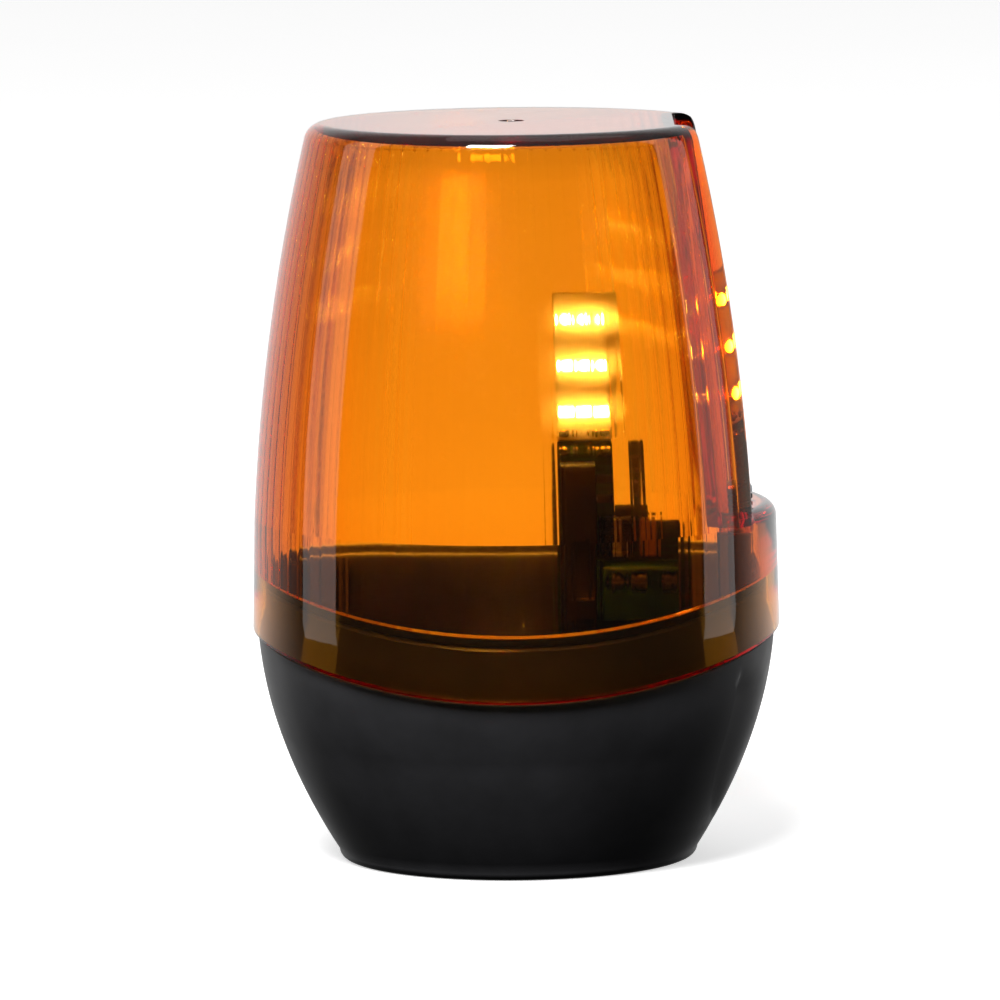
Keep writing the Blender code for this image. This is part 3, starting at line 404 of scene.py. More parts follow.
def ribDepth(angle, u, side):
    """Depth in millimetres of a groove at an angle from the pocket, u running from -1 to 1 across the rib."""
    narrow = u * 2 - (1 if u > 0 else -1)
    shallow = lensSize["fluteDepth"] * narrow ** 2 + lensSize["grooveDepth"] * max(0.0, (abs(narrow) - 0.75) / 0.25) ** 2
    if side < 0:
        return shallow
    degrees = math.degrees(angle)
    pocketSide = ease((degrees - 32) / 8) * ease((72 - degrees) / 8)
    farSide = ease((degrees - 112) / 10) * ease((165 - degrees) / 10)
    return shallow + lensSize["rearDepth"] * max(pocketSide, 0.6 * farSide) * narrow ** 2


def flutedArc(radius, start, share, side):
    """Outer stretch from the pocket's lip to the far side, ribbed by a share of the full depth; side is 1 or -1 in Y."""
    made = []
    steps = lensSize["fluteSteps"]
    for i, point in enumerate(arc((0, 0), 1, start, math.pi, arcSteps)):
        u = (i % steps) / steps * 2 - 1
        depth = ribDepth(math.atan2(point.y, point.x), u, side) * min(1.0, i / steps)
        made.append(point * (radius + depth * mm * share))
    return made


def pocketOutline(z, inset, pocketInset, flute=0.0):
    lip, lipRound = lipCentre(z, inset, pocketInset)
    lipAngle = math.atan2(lip.y, lip.x)
    back = pocketBack(z) - pocketInset
    deep = lensSize["cornerRound"] * mm + pocketInset
    wide = min(deep, lip.x - back - 0.1 * mm)
    side = lip.y - lipRound
    half = [Vector((back, 0))]
    for x, y in arc((0, 0), 1, math.pi, math.pi / 2, cornerSteps):
        half.append(Vector((back + wide * (1 + x), side - deep * (1 - y))))
    half += arc(lip, lipRound, -math.pi / 2, lipAngle, lipSteps)
    back, front = (half + flutedArc(lensRadius(z) - inset, lipAngle, flute, side)[1:] for side in (1, -1))
    return bothHalves(back, front)


def roundOutline(radius, inset, ledgeInset=0.0, flute=0.0):
    lip, _ = lipCentre(ledgeZ, inset, inset)
    lipAngle = math.atan2(lip.y, lip.x)
    last = pocketColumns - 1
    half = arc((0, 0), radius - ledgeInset, 0, lipAngle * (last - 1) / last, last - 1)
    back, front = (half + flutedArc(radius, lipAngle, flute, side) for side in (1, -1))
    return bothHalves(back, front)


def atHeight(outline, z):
    return [Vector((*p, z)) for p in outline]


def alongSeam(outline, above):
    return [Vector((*p, seamZ(p.y) + above)) for p in outline]


def between(low, high, share):
    return [a.lerp(b, share) for a, b in zip(low, high)]


# ---- lens

def lensRows():
    """Rows from the inner top, down inside, round the skirt's edge and up outside to the top."""
    wall, pocketWall = lensSize["wall"] * mm, lensSize["pocketWall"] * mm
    flute = 1.0
    innerTop = topZ - lensSize["topWall"] * mm
    shoulder = innerTop - 0.6 * mm
    rows = [atHeight(pocketOutline(innerTop, wall + 0.9 * mm, pocketWall + 0.3 * mm), innerTop)]
    for angle in (0, *quarter(2)):
        z = innerTop - 0.6 * mm * (1 - math.cos(angle))
        inset = wall + 0.6 * mm * (1 - math.sin(angle))
        rows.append(atHeight(pocketOutline(z, inset, pocketWall, flute * math.sin(angle)), z))
    for i in range(1, 13):
        z = shoulder + (ledgeUnder - shoulder) * i / 12
        rows.append(atHeight(pocketOutline(z, wall, pocketWall, flute), z))
    innerRadius = lensRadius(ledgeUnder) - wall
    low = atHeight(roundOutline(innerRadius, wall, flute=flute), ledgeUnder)
    overlap = lensSize["overlap"] * mm
    lip = alongSeam(roundOutline(innerRadius, wall, flute=flute), overlap)
    rows += [low, between(low, lip, 0.5), lip]
    rows.append(alongSeam(roundOutline(skirtInner, wall), overlap))
    rows.append(alongSeam(roundOutline(skirtInner, wall), overlap * 0.5))
    edge, under = lensSize["skirtEdge"] * mm, seam["gap"] / 2 * mm
    rows.append(alongSeam(roundOutline(skirtInner, wall), under + edge))
    rows.append(alongSeam(roundOutline(skirtInner + edge, wall), under))
    for angle in (0, *quarter(3)):
        radius = lensRadius0 - edge * (1 - math.sin(angle))
        rows.append(alongSeam(roundOutline(radius, 0), under + edge * (1 - math.cos(angle))))
    ledgeRound = lensSize["ledgeRound"] * mm
    start = ledgeZ - ledgeRound
    high = atHeight(roundOutline(lensRadius(start), 0), start)
    rows += [between(rows[-1], high, share) for share in (0.33, 0.66)] + [high]
    for angle in quarter(7):
        z = start + ledgeRound * math.sin(angle)
        rows.append(atHeight(roundOutline(lensRadius(z), 0, ledgeRound * (1 - math.cos(angle))), z))
    ledge = atHeight(pocketOutline(ledgeZ, 0, 0), ledgeZ)
    rows += [between(rows[-1], ledge, 0.06), ledge]
    topRound = lensSize["topRound"] * mm
    for i in range(1, 15):
        z = ledgeZ + (topZ - topRound - ledgeZ) * i / 14
        rows.append(atHeight(pocketOutline(z, 0, 0), z))
    for angle in quarter(8):
        z = topZ - topRound + topRound * math.sin(angle)
        rows.append(atHeight(pocketOutline(z, topRound * (1 - math.cos(angle)), 0), z))
    rows.append(atHeight(pocketOutline(topZ, topRound + 0.4 * mm, 0.4 * mm), topZ))
    return rows


screwLow, screwHigh, screwMid = span("lens_screw")
washerLow, washerHigh, washerMid = span("lens_screw_washer")


def makeLens():
    mesh = bmesh.new()
    addLoft(mesh, lensRows())
    x = screwMid.x
    # tube under the ledge that lands on the base's boss, and the screw's clearance hole through both
    pillar = turnedCutter([(4.0 * mm, ledgeUnder - 4.0 * mm), (4.0 * mm, ledgeUnder + 1.2 * mm)], (x, 0, 0))
    bore = turnedCutter([(2.1 * mm, ledgeUnder - 4.5 * mm), (2.1 * mm, ledgeZ + 0.5 * mm)], (x, 0, 0))
    # gate mark: a shallow ring left around the moulding nub in the middle of the top
    gate = turnedCutter(
        [(0.9 * mm, topZ - 0.5 * mm), (2.4 * mm, topZ - 0.5 * mm), (2.7 * mm, topZ + 0.2 * mm), (0.9 * mm, topZ + 0.2 * mm)],
        ring=True)
    lens = piece("lensShell", mesh, [amber], "lens", "lens", 30,
                 [("UNION", pillar), ("DIFFERENCE", bore), ("DIFFERENCE", gate)])
    fluted = lens.data.attributes.new("fluted", "FLOAT", "POINT")
    for i, vert in enumerate(lens.data.vertices):
        radius = math.hypot(vert.co.x, vert.co.y)
        inside = radius < lensRadius(vert.co.z) - 1.5 * mm and seamZ(vert.co.y) + 12 * mm < vert.co.z < topZ - 2 * mm
        ribbed = inside and not (vert.co.x > 28 * mm and abs(vert.co.y) < 22 * mm)
        frosted = 0.75 if vert.co.y > 20 * mm and -25 * mm < vert.co.x < 19 * mm else 0.0
        fluted.data[i].value = (0.1 + frosted) if ribbed else 0.0
    return lens


makeLens()
print("lens built")


# ---- base shell

baseSize = {
    "stepIn": 0.84, "flareZ": 51.5, "footRadius": 34.5, "edgeRound": 2.0, "wall": 2.4, "floorTop": 5.5,
    "footHeight": 2.5, "footWidth": 3.6, "collarOuter": 50.2, "collarInner": 48.0, "collarRise": 10.3,
    "shieldHalf": 31.0, "shieldPoint": 6.0, "shieldTop": 42.0, "shieldStraight": 24.0, "shieldBottom": 6.0,
    "shieldDepth": 1.3,
}
baseTopRadius = lensRadius0 - baseSize["stepIn"] * mm
shieldColumns = [i / 24 for i in range(24)]


def baseRadius(z):
    flare = baseSize["flareZ"] * mm
    low = 1 - min(z, flare) / flare
    return baseTopRadius - (baseTopRadius - baseSize["footRadius"] * mm) * low**2


def shieldHalf(z):
    straight, bottom = baseSize["shieldStraight"] * mm, baseSize["shieldBottom"] * mm
    half = math.radians(baseSize["shieldHalf"])
    if z >= straight:
        return half
    fall = min(1.0, (straight - z) / (straight - bottom))
    return max(half * math.sqrt(1 - fall**2), math.radians(baseSize["shieldPoint"]))


def shieldDepth(z, share):
    """Sharp valley just inside the shield's edge that runs out smoothly towards its middle."""
    top, straight, bottom = (baseSize[k] * mm for k in ("shieldTop", "shieldStraight", "shieldBottom"))
    fade = ease((top - z) / (0.35 * (top - straight))) * ease((z - bottom) / (0.35 * (straight - bottom)))
    across = ease((share - 0.35) / 0.58) * min(1.0, (1 - share) / 0.04)
    return baseSize["shieldDepth"] * mm * fade * across


def baseRow(radiusAt, heightAt, shielded=True, steps=110):
    half = []
    spread = shieldHalf(heightAt(0))
    columns = [(share * spread, share) for share in shieldColumns + [0.965, 0.985]]
    columns += [(spread + (math.pi - spread) * i / steps, 1.0) for i in range(steps + 1)]
    for angle, share in columns:
        z = heightAt(baseTopRadius * math.sin(angle))
        radius = radiusAt(z) - (shieldDepth(z, share) if shielded else 0)
        half.append((angle, radius))
    half += [(-angle, radius) for angle, radius in reversed(half[1:-1])]
    return [Vector((r * math.cos(a), r * math.sin(a), heightAt(r * math.sin(a)))) for a, r in half]


def level(z):
    return lambda y: z


def bowed(above):
    return lambda y: seamZ(y) + above


def mixed(low, above, share):
    return lambda y: low + share * (seamZ(y) + above - low)


def baseRows():
    floor, rise = baseSize["floorTop"] * mm, baseSize["collarRise"] * mm
    under = -seam["gap"] / 2 * mm
    inner, outer = baseSize["collarInner"] * mm, baseSize["collarOuter"] * mm

    def inside(z):
        return min(baseRadius(z) - baseSize["wall"] * mm, inner)

    rows = [baseRow(lambda z: inside(z) * 0.97, level(floor), False)]
    rows += [baseRow(inside, mixed(floor, rise - 0.4 * mm, i / 20), False) for i in range(21)]
    rows.append(baseRow(lambda z: inner + 0.4 * mm, bowed(rise), False))
    rows.append(baseRow(lambda z: outer - 0.5 * mm, bowed(rise), False))
    rows.append(baseRow(lambda z: outer, bowed(rise - 0.5 * mm), False))
    rows.append(baseRow(lambda z: outer, bowed(rise * 0.4), False))
    rows.append(baseRow(lambda z: outer, bowed(under), False))
    rows.append(baseRow(lambda z: baseRadius(z) - 0.25 * mm, bowed(under)))
    rows.append(baseRow(baseRadius, bowed(under - 0.25 * mm)))
    straight = baseSize["shieldStraight"] * mm
    rows += [baseRow(baseRadius, mixed(straight, under - 0.25 * mm, 1 - i / 14)) for i in range(1, 15)]
    edge = baseSize["edgeRound"] * mm
    rows += [baseRow(baseRadius, level(straight + (edge - straight) * i / 14)) for i in range(1, 15)]
    wide = baseRadius(edge)
    for angle in quarter(6):
        radius = wide - edge * (1 - math.cos(angle))
        rows.append(baseRow(lambda z: radius, level(edge * (1 - math.sin(angle))), False))
    footInner = wide - edge - baseSize["footWidth"] * mm
    rows.append(baseRow(lambda z: footInner, level(0), False))
    rows.append(baseRow(lambda z: footInner, level(baseSize["footHeight"] * mm), False))
    return rows


postScrewLow = {side: span("post_screw_" + side) for side in ("left", "right")}
grommetLow, grommetHigh, grommetMid = span("cable_grommet")


def makeBase():
    shell, mesh = bmesh.new(), bmesh.new()
    addLoft(shell, baseRows())
    floor = baseSize["floorTop"] * mm
    x, top = screwMid.x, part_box("base_shell")[1].z
    bore = 2.1 * mm
    boss = [(bore, top - 9 * mm), (bore, top - 0.3 * mm), (bore + 0.3 * mm, top), (3.4 * mm, top), (3.7 * mm, top - 0.3 * mm),
            (3.7 * mm, top - 28.5 * mm), (3.2 * mm, top - 29 * mm), (0, top - 29 * mm)]
    addTurned(mesh, [(0, top - 9 * mm)] + boss, (x, 0, 0))
    ribTop = seamZ(0) + (baseSize["collarRise"] - 0.4) * mm
    addBox(mesh, (x, -1 * mm, top - 28.5 * mm), (49 * mm, 1 * mm, ribTop), 0.3 * mm)
    for low, high, mid in postScrewLow.values():
        pad = [(0, floor - 0.5 * mm), (1.65 * mm, floor - 0.5 * mm), (1.65 * mm, floor + 4.8 * mm), (1.9 * mm, floor + 5 * mm),
               (3.7 * mm, floor + 5 * mm), (4 * mm, floor + 4.7 * mm), (4.2 * mm, floor - 1 * mm), (0, floor - 1 * mm)]
        addTurned(mesh, pad, (mid.x, mid.y, 0))
    # radial ribs that stiffen the floor
    for i in range(8):
        turn = Matrix.Rotation(math.radians(22.5 + 45 * i), 4, "Z")
        rib = bmesh.new()
        addBox(rib, (27 * mm, -0.8 * mm, floor - 0.5 * mm), (35.5 * mm, 0.8 * mm, floor + 3 * mm), 0.25 * mm, segments=2)
        rib.transform(turn)
        spare = bpy.data.meshes.new("rib")
        rib.to_mesh(spare)
        rib.free()
        mesh.from_mesh(spare)
    below, above = (baseSize["footHeight"] - 0.4) * mm, floor + 0.6 * mm
    holes = [turnedCutter([(6.5 * mm, below), (6.5 * mm, above)], (grommetMid.x, grommetMid.y, 0))]
    for y in (-25 * mm, 25 * mm):
        holes.append(turnedCutter([(2.25 * mm, below), (2.25 * mm, above)], (0, y, 0), steps=32))
    return piece("baseShell", shell, [blackPlastic], "base", "base_shell", 34, [("DIFFERENCE", h) for h in holes], mesh)


makeBase()
print("base built")


def makeSeal():
    # soft D-section with a raised wiping lip on top
    mesh = bmesh.new()
    rise = (baseSize["collarRise"] + 0.3) * mm
    section = softened([(48.0, 0.8), (48.0, 0.0), (50.2, 0.0), (50.2, 1.6), (49.4, 1.6), (49.1, 1.3), (48.6, 1.3),
                        (48.3, 1.6), (48.0, 1.6), (48.0, 0.8)], 0.3, 3)
    rows = [baseRow(lambda z: p[0] * mm, bowed(rise + p[1] * mm), False) for p in section[:-1]]
    addLoft(mesh, rows, ring=True)
    return piece("lensSeal", mesh, [rubber], "base", "lens_seal")


makeSeal()


# ---- screws

def addScrew(mesh, size, place, along="Z", slot=0):
    """Pan head over a threaded shank. The place is the middle of the head's underside."""
    head, thick, shank, length, pitch = (size[k] * mm for k in ("head", "thick", "shank", "length", "pitch"))
    turn = {"Z": Matrix(), "-Y": Matrix.Rotation(math.pi / 2, 4, "X"), "Y": Matrix.Rotation(-math.pi / 2, 4, "X")}[along]
    move = Matrix.Translation(Vector(place)) @ turn
    steps, rows = 36, []
    count = int(length / pitch * 8)
    for i in range(count + 1):
        z = -length + length * i / count
        taper = min(1.0, (z + length) / (0.6 * shank) + 0.25)
        fade = min(1.0, max(0.0, -z / pitch - 0.5))
        row = []
        for k in range(steps):
            a = 2 * math.pi * k / steps
            phase = (z / pitch - k / steps) % 1.0
            groove = min(1.0, abs(phase - 0.5) * 3.2)
            radius = shank / 2 * taper * (1 - 0.16 * (1 - groove) * fade)
            row.append(move @ Vector((radius * math.cos(a), radius * math.sin(a), z)))
        rows.append(row)
    outline = softened([(shank / 2, 0), (head / 2, 0), (head / 2, thick * 0.5), (head * 0.4, thick * 0.9), (head * 0.25, thick), (0, thick)],
                       0.35 * mm, 5)
    for radius, z in outline[1:]:
        around = arc((0, 0), radius, 0, 2 * math.pi, steps)[:steps if radius > 1e-7 else 1]
        rows.append([move @ Vector((*p, z)) for p in around])
    addLoft(mesh, rows, slot)


def crossCutter(size, place, along):
    """Tapered cross recess in a pan head."""
    turn = {"Z": Matrix(), "-Y": Matrix.Rotation(math.pi / 2, 4, "X"), "Y": Matrix.Rotation(-math.pi / 2, 4, "X")}[along]
    thick, head = size["thick"] * mm, size["head"] * mm
    outline = []
    wide, narrow = head * 0.29, head * 0.065
    for k in range(4):
        for x, y in ((narrow, -narrow), (wide, -narrow), (wide, narrow)):
            c, s = round(math.cos(k * math.pi / 2)), round(math.sin(k * math.pi / 2))
            outline.append(Vector((x * c - y * s, x * s + y * c)))
    cutter = bmesh.new()
    move = Matrix.Translation(Vector(place)) @ turn
    rows = [[move @ Vector((p.x * k, p.y * k, z)) for p in outline]
            for k, z in ((0.35, thick * 0.3), (0.85, thick * 0.75), (1.05, thick * 1.1))]
    addLoft(cutter, rows)
    return cutter


screws = {
    "lens_screw": {"head": 6.6, "thick": 2.4, "shank": 3.5, "length": 17.0, "pitch": 1.3, "slot": 0.7, "deep": 1.0},
    "small": {"head": 5.0, "thick": 1.8, "shank": 2.6, "length": 9.0, "pitch": 1.0},
    "terminal": {"head": 3.6, "thick": 1.8, "shank": 2.4, "length": 4.0, "pitch": 0.5, "slot": 0.7, "deep": 0.8},
}


def makeScrews():
    size = screws["lens_screw"]
    place = (screwMid.x, 0, screwHigh.z - size["thick"] * mm)
    mesh = bmesh.new()
    addScrew(mesh, size, place)
    deep = screwHigh.z - size["deep"] * mm
    cut = boxCutter((screwMid.x - 4 * mm, -size["slot"] / 2 * mm, deep), (screwMid.x + 4 * mm, size["slot"] / 2 * mm, deep + 3 * mm))
    piece("lensScrew", mesh, [steel], "lens_screw", "lens_screw", 30, [("DIFFERENCE", cut)])

    mesh = bmesh.new()
    low, high = washerLow.z, washerHigh.z
    section = softened([(2.1 * mm, low + 0.45 * mm), (2.1 * mm, low), (3.3 * mm, low), (3.3 * mm, high), (2.1 * mm, high),
                        (2.1 * mm, low + 0.45 * mm)], 0.25 * mm, 4)
    addTurned(mesh, section[:-1], (screwMid.x, 0, 0), ring=True)
    piece("lensScrewWasher", mesh, [rubber], "lens_screw", "lens_screw_washer")

    for side, (low, high, mid) in postScrewLow.items():
        size = dict(screws["small"], length=(high.z - low.z) / mm - screws["small"]["thick"])
        place = (mid.x, mid.y, high.z - size["thick"] * mm)
        mesh = bmesh.new()
        addScrew(mesh, size, place)
        piece("postScrew" + side.title(), mesh, [steel], "base", "post_screw_" + side, 30,
              [("DIFFERENCE", crossCutter(size, place, "Z"))])
    for height in ("lower", "upper"):
        low, high, mid = span("board_screw_" + height)
        size = dict(screws["small"], length=(high.y - low.y) / mm - screws["small"]["thick"])
        place = (mid.x, high.y - size["thick"] * mm, mid.z)
        mesh = bmesh.new()
        addScrew(mesh, size, place, "Y")
        piece("boardScrew" + height.title(), mesh, [steel], "base", "board_screw_" + height, 30,
              [("DIFFERENCE", crossCutter(size, place, "Y"))])
    for number in (1, 2, 3):
        low, high, mid = span(f"terminal_screw_{number}")
        size = screws["terminal"]
        place = (mid.x, low.y + size["thick"] * mm, mid.z)
        mesh = bmesh.new()
        addScrew(mesh, size, place, "-Y")
        deep = low.y + size["deep"] * mm
        cut = boxCutter((mid.x - 3 * mm, low.y - 1 * mm, mid.z - size["slot"] / 2 * mm),
                        (mid.x + 3 * mm, deep, mid.z + size["slot"] / 2 * mm))
        piece(f"terminalScrew{number}", mesh, [steel], f"terminal_screw_{number}", f"terminal_screw_{number}", 30,
              [("DIFFERENCE", cut)])


makeScrews()
print("screws built")


# ---- grommet and post

def makeGrommet():
    low, high = grommetLow.z, grommetHigh.z
    section = [(3.25 * mm, (low + high) / 2), (3.25 * mm, low), (8.7 * mm, low), (8.7 * mm, 2.2 * mm), (6.2 * mm, 2.2 * mm),
               (6.2 * mm, 5.8 * mm), (8.7 * mm, 5.8 * mm), (6.4 * mm, high), (3.25 * mm, high), (3.25 * mm, (low + high) / 2)]
    mesh = bmesh.new()
    addTurned(mesh, softened(section, 0.6 * mm, 5)[:-1], (grommetMid.x, grommetMid.y, 0), ring=True, steps=64)
    return piece("cableGrommet", mesh, [rubber], "base", "cable_grommet")


def makePost():
    low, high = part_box("support_post")
    footTop, back = low.z + 3 * mm, -1.1 * mm
    left, right = 9.81 * mm, 16.01 * mm
    mid, front = (left + right) / 2, back - 6.4 * mm
    column, mesh = bmesh.new(), bmesh.new()
    addBox(column, (left, front, footTop - 1 * mm), (right, back, high.z), 0.5 * mm)
    addBox(mesh, (low.x, low.y, low.z), (high.x, high.y, footTop), 0.7 * mm)
    # buttresses from the post down to the foot
    for x0, x1 in ((left, left - 7 * mm), (right, right + 7 * mm)):
        rows = []
        for y in (-4.9 * mm, -3.7 * mm):
            rows.append([Vector((x0, y, footTop - 0.5 * mm)), Vector((x1, y, footTop - 0.5 * mm)), Vector((x1, y, footTop + 0.6 * mm)),
                         Vector((x0, y, footTop + 16 * mm))])
        addLoft(mesh, rows)
    # cored-out recesses down the front, as the moulding has
    cuts = [("DIFFERENCE", boxCutter((mid - 1.9 * mm, front - 1 * mm, z), (mid + 1.9 * mm, front + 2 * mm, z + 12.5 * mm), 0.5 * mm))
            for z in (19.5 * mm, 35.5 * mm, 51.5 * mm)]
    return piece("supportPost", column, [nylon], "base", "support_post", 30, cuts, mesh)


makeGrommet()
makePost()


# ---- boards

def addPlate(mesh, outline, front, back, slot=0):
    rows = [[Vector((x, y, z)) for x, z in outline] for y in (back, front)]
    addLoft(mesh, rows, slot)


def addPad(mesh, x, z, y, out, radius=0.9 * mm, slot=1, hole=0.0):
    """Ring of tinned copper with a solder fillet and the tip of a pin."""
    thick = 0.05 * mm * out
    outline = [(radius, 0), (radius, 0.05 * mm), (radius * 0.62, 0.22 * mm), (radius * 0.4, 0.7 * mm), (radius * 0.34, 0.85 * mm), (0, 0.95 * mm)]
    if hole:
        outline = [(hole, 0), (radius, 0), (radius, 0.05 * mm), (hole, 0.05 * mm)]
    addTurned(mesh, outline, (x, y, z), "Y" if out > 0 else "-Y", 20, slot, bool(hole))


boardScrews = [span("board_screw_lower")[2], span("board_screw_upper")[2]]


def makeCircuitBoard():
    low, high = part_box("circuit_board")
    # the slot down the neck keeps the mains side apart from the LED side
    neckX, neckZ, slotLeft, slotRight = 25.1 * mm, 67 * mm, 19.91 * mm, 22.71 * mm
    corners = [(low.x, low.z), (high.x, low.z), (high.x, neckZ), (neckX, neckZ), (neckX, high.z), (slotRight, high.z),
               (slotRight, neckZ), (slotLeft, neckZ), (slotLeft, high.z), (low.x, high.z)]
    outline = softened([corners[-1], *corners, corners[0]], 1.2 * mm, 5)[1:-1]
    plate, mesh = bmesh.new(), bmesh.new()
    addPlate(plate, outline, low.y, high.y)
    for mid in boardScrews:
        for y, out in ((low.y, -1), (high.y, 1)):
            addPad(mesh, mid.x, mid.z, y, out, 2.9 * mm, 1, 1.7 * mm)
    for i in range(4):      # pins of the board header
        addPad(mesh, (10.1 + 2.54 * i) * mm, 81 * mm, low.y, -1)
    for x in terminalXs:    # pins of the terminal block, soldered behind
        addPad(mesh, x, 52 * mm, high.y, 1, 1.2 * mm)
    for x, z in ((19.1, 62.8), (21.6, 62.8), (25.6, 61.5), (27, 66)):
        addPad(mesh, x * mm, z * mm, high.y, 1, 0.8 * mm)
    # small chip resistors and capacitors, with tinned ends
    for x, z, turned in ((29.5, 44.5, 0), (26.0, 44.5, 0), (22.5, 44.5, 0), (20.0, 40.5, 1), (30.5, 39.0, 1), (28.0, 36.5, 0),
                         (22.0, 36.0, 1), (18.0, 71.5, 0), (23.9, 73.5, 1), (18.0, 75.5, 0), (23.9, 78.5, 1)):
        half = (1.6 * mm, 0.8 * mm) if not turned else (0.8 * mm, 1.6 * mm)
        x, z = x * mm, z * mm
        addBox(mesh, (x - half[0] * 0.62, low.y - 0.55 * mm, z - half[1] * (0.62 if turned else 1)),
               (x + half[0] * (1 if turned else 0.62), low.y, z + half[1] * (0.62 if turned else 1)), 0.08 * mm, 2, 2)
        for end in (-1, 1):
            dx, dz = (0, half[1] * 0.8 * end) if turned else (half[0] * 0.8 * end, 0)
            wide = (half[0], half[1] * 0.3) if turned else (half[0] * 0.3, half[1])
            addBox(mesh, (x + dx - wide[0], low.y - 0.6 * mm, z + dz - wide[1]), (x + dx + wide[0], low.y, z + dz + wide[1]), 0.1 * mm, 1, 2)
    cuts = [("DIFFERENCE", turnedCutter([(1.65 * mm, -3 * mm), (1.65 * mm, 3 * mm)], (m.x, 0, m.z), "Y")) for m in boardScrews]
    return piece("circuitBoard", plate, [greenMask, tin, moulding], "base", "circuit_board", 30, cuts, mesh)


def makeLedBoard():
    low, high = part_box("led_board")
    corners = [(low.x, low.z), (high.x, low.z), (high.x, high.z), (low.x, high.z)]
    outline = softened([corners[-1], *corners, corners[0]], 0.8 * mm, 5)[1:-1]
    mesh = bmesh.new()
    addPlate(mesh, outline, low.y, high.y)
    for name in ledNames:
        ledLow, ledHigh, mid = span(name)
        out = 1 if mid.y > 0 else -1
        face = high.y if out > 0 else low.y
        for side in (-1, 1):
            x = mid.x + side * 1.25 * mm
            addBox(mesh, (x - 0.45 * mm, min(face, face + out * 0.06 * mm), mid.z - 1.1 * mm),
                   (x + 0.45 * mm, max(face, face + out * 0.06 * mm), mid.z + 1.1 * mm), 0.02 * mm, 1, 1)
    for i in range(4):
        addPad(mesh, (10.1 + 2.54 * i) * mm, 84.6 * mm, low.y, -1, 0.8 * mm)
    return piece("ledBoard", mesh, [whiteMask, tin], "base", "led_board", 30)


def makeHeader():
    low, high, mid = span("board_header")
    mesh = bmesh.new()
    split = low.z + 3.1 * mm
    addBox(mesh, (low.x, low.y, low.z), (high.x, high.y, split), 0.25 * mm)
    addBox(mesh, (low.x, low.y, split + 0.4 * mm), (high.x, high.y, high.z), 0.25 * mm)
    for i in range(4):
        x = (10.1 + 2.54 * i) * mm
        addBox(mesh, (x - 0.32 * mm, mid.y - 0.32 * mm, split - 1 * mm), (x + 0.32 * mm, mid.y + 0.32 * mm, split + 1.4 * mm), 0.08 * mm, 1, 2)
        for z in (81 * mm, 84.6 * mm):
            addBox(mesh, (x - 0.32 * mm, -1.3 * mm, z - 0.32 * mm), (x + 0.32 * mm, low.y + 0.5 * mm, z + 0.32 * mm), 0.08 * mm, 1, 2)
    return piece("boardHeader", mesh, [nylon, tin], "base", "board_header", 30)


def makeLed(name):
    """Ceramic-white package with a silver anode and cathode and a domed phosphor window."""
    low, high, mid = span(name)
    out = 1 if mid.y > 0 else -1
    face = low.y if out > 0 else high.y
    half = 1.4 * mm
    mesh = bmesh.new()
    addBox(mesh, (mid.x - half, min(face, face + out * 0.8 * mm), mid.z - half),
           (mid.x + half, max(face, face + out * 0.8 * mm), mid.z + half), 0.12 * mm, 0, 2)
    for side in (-1, 1):
        x = mid.x + side * (half - 0.12 * mm)
        addBox(mesh, (x - 0.14 * mm, min(face, face + out * 0.3 * mm), mid.z - 0.9 * mm),
               (x + 0.14 * mm, max(face, face + out * 0.3 * mm), mid.z + 0.9 * mm), 0.03 * mm, 1, 1)
    dome = [(1.16 * mm, 0.7 * mm)]
    dome += [(1.16 * mm * math.cos(a), 0.8 * mm + 0.86 * mm * math.sin(a)) for a in (0, *quarter(8))]
    dome[-1] = (0, 1.66 * mm)
    disc = [(0.95 * mm, 0.72 * mm), (0.95 * mm, 0.84 * mm), (0.6 * mm, 0.87 * mm), (0, 0.88 * mm)]
    addTurned(mesh, dome, (mid.x, face, mid.z), "Y" if out > 0 else "-Y", 32, 3)
    addTurned(mesh, disc, (mid.x, face, mid.z), "Y" if out > 0 else "-Y", 24, 2)
    return piece(name.replace("_", ""), mesh, [ledBody, tin, phosphor, clearSilicone], "base", name, 35)


ledNames = [f"led_{face}_{row}{column}" for face in ("front", "back") for row in (1, 2, 3) for column in "abc"]
terminalXs = [span(f"terminal_screw_{n}")[2].x for n in (1, 2, 3)]
makeCircuitBoard()
makeLedBoard()
makeHeader()
for ledName in ledNames:
    makeLed(ledName)
print("boards and LEDs built")


# ---- parts on the circuit board

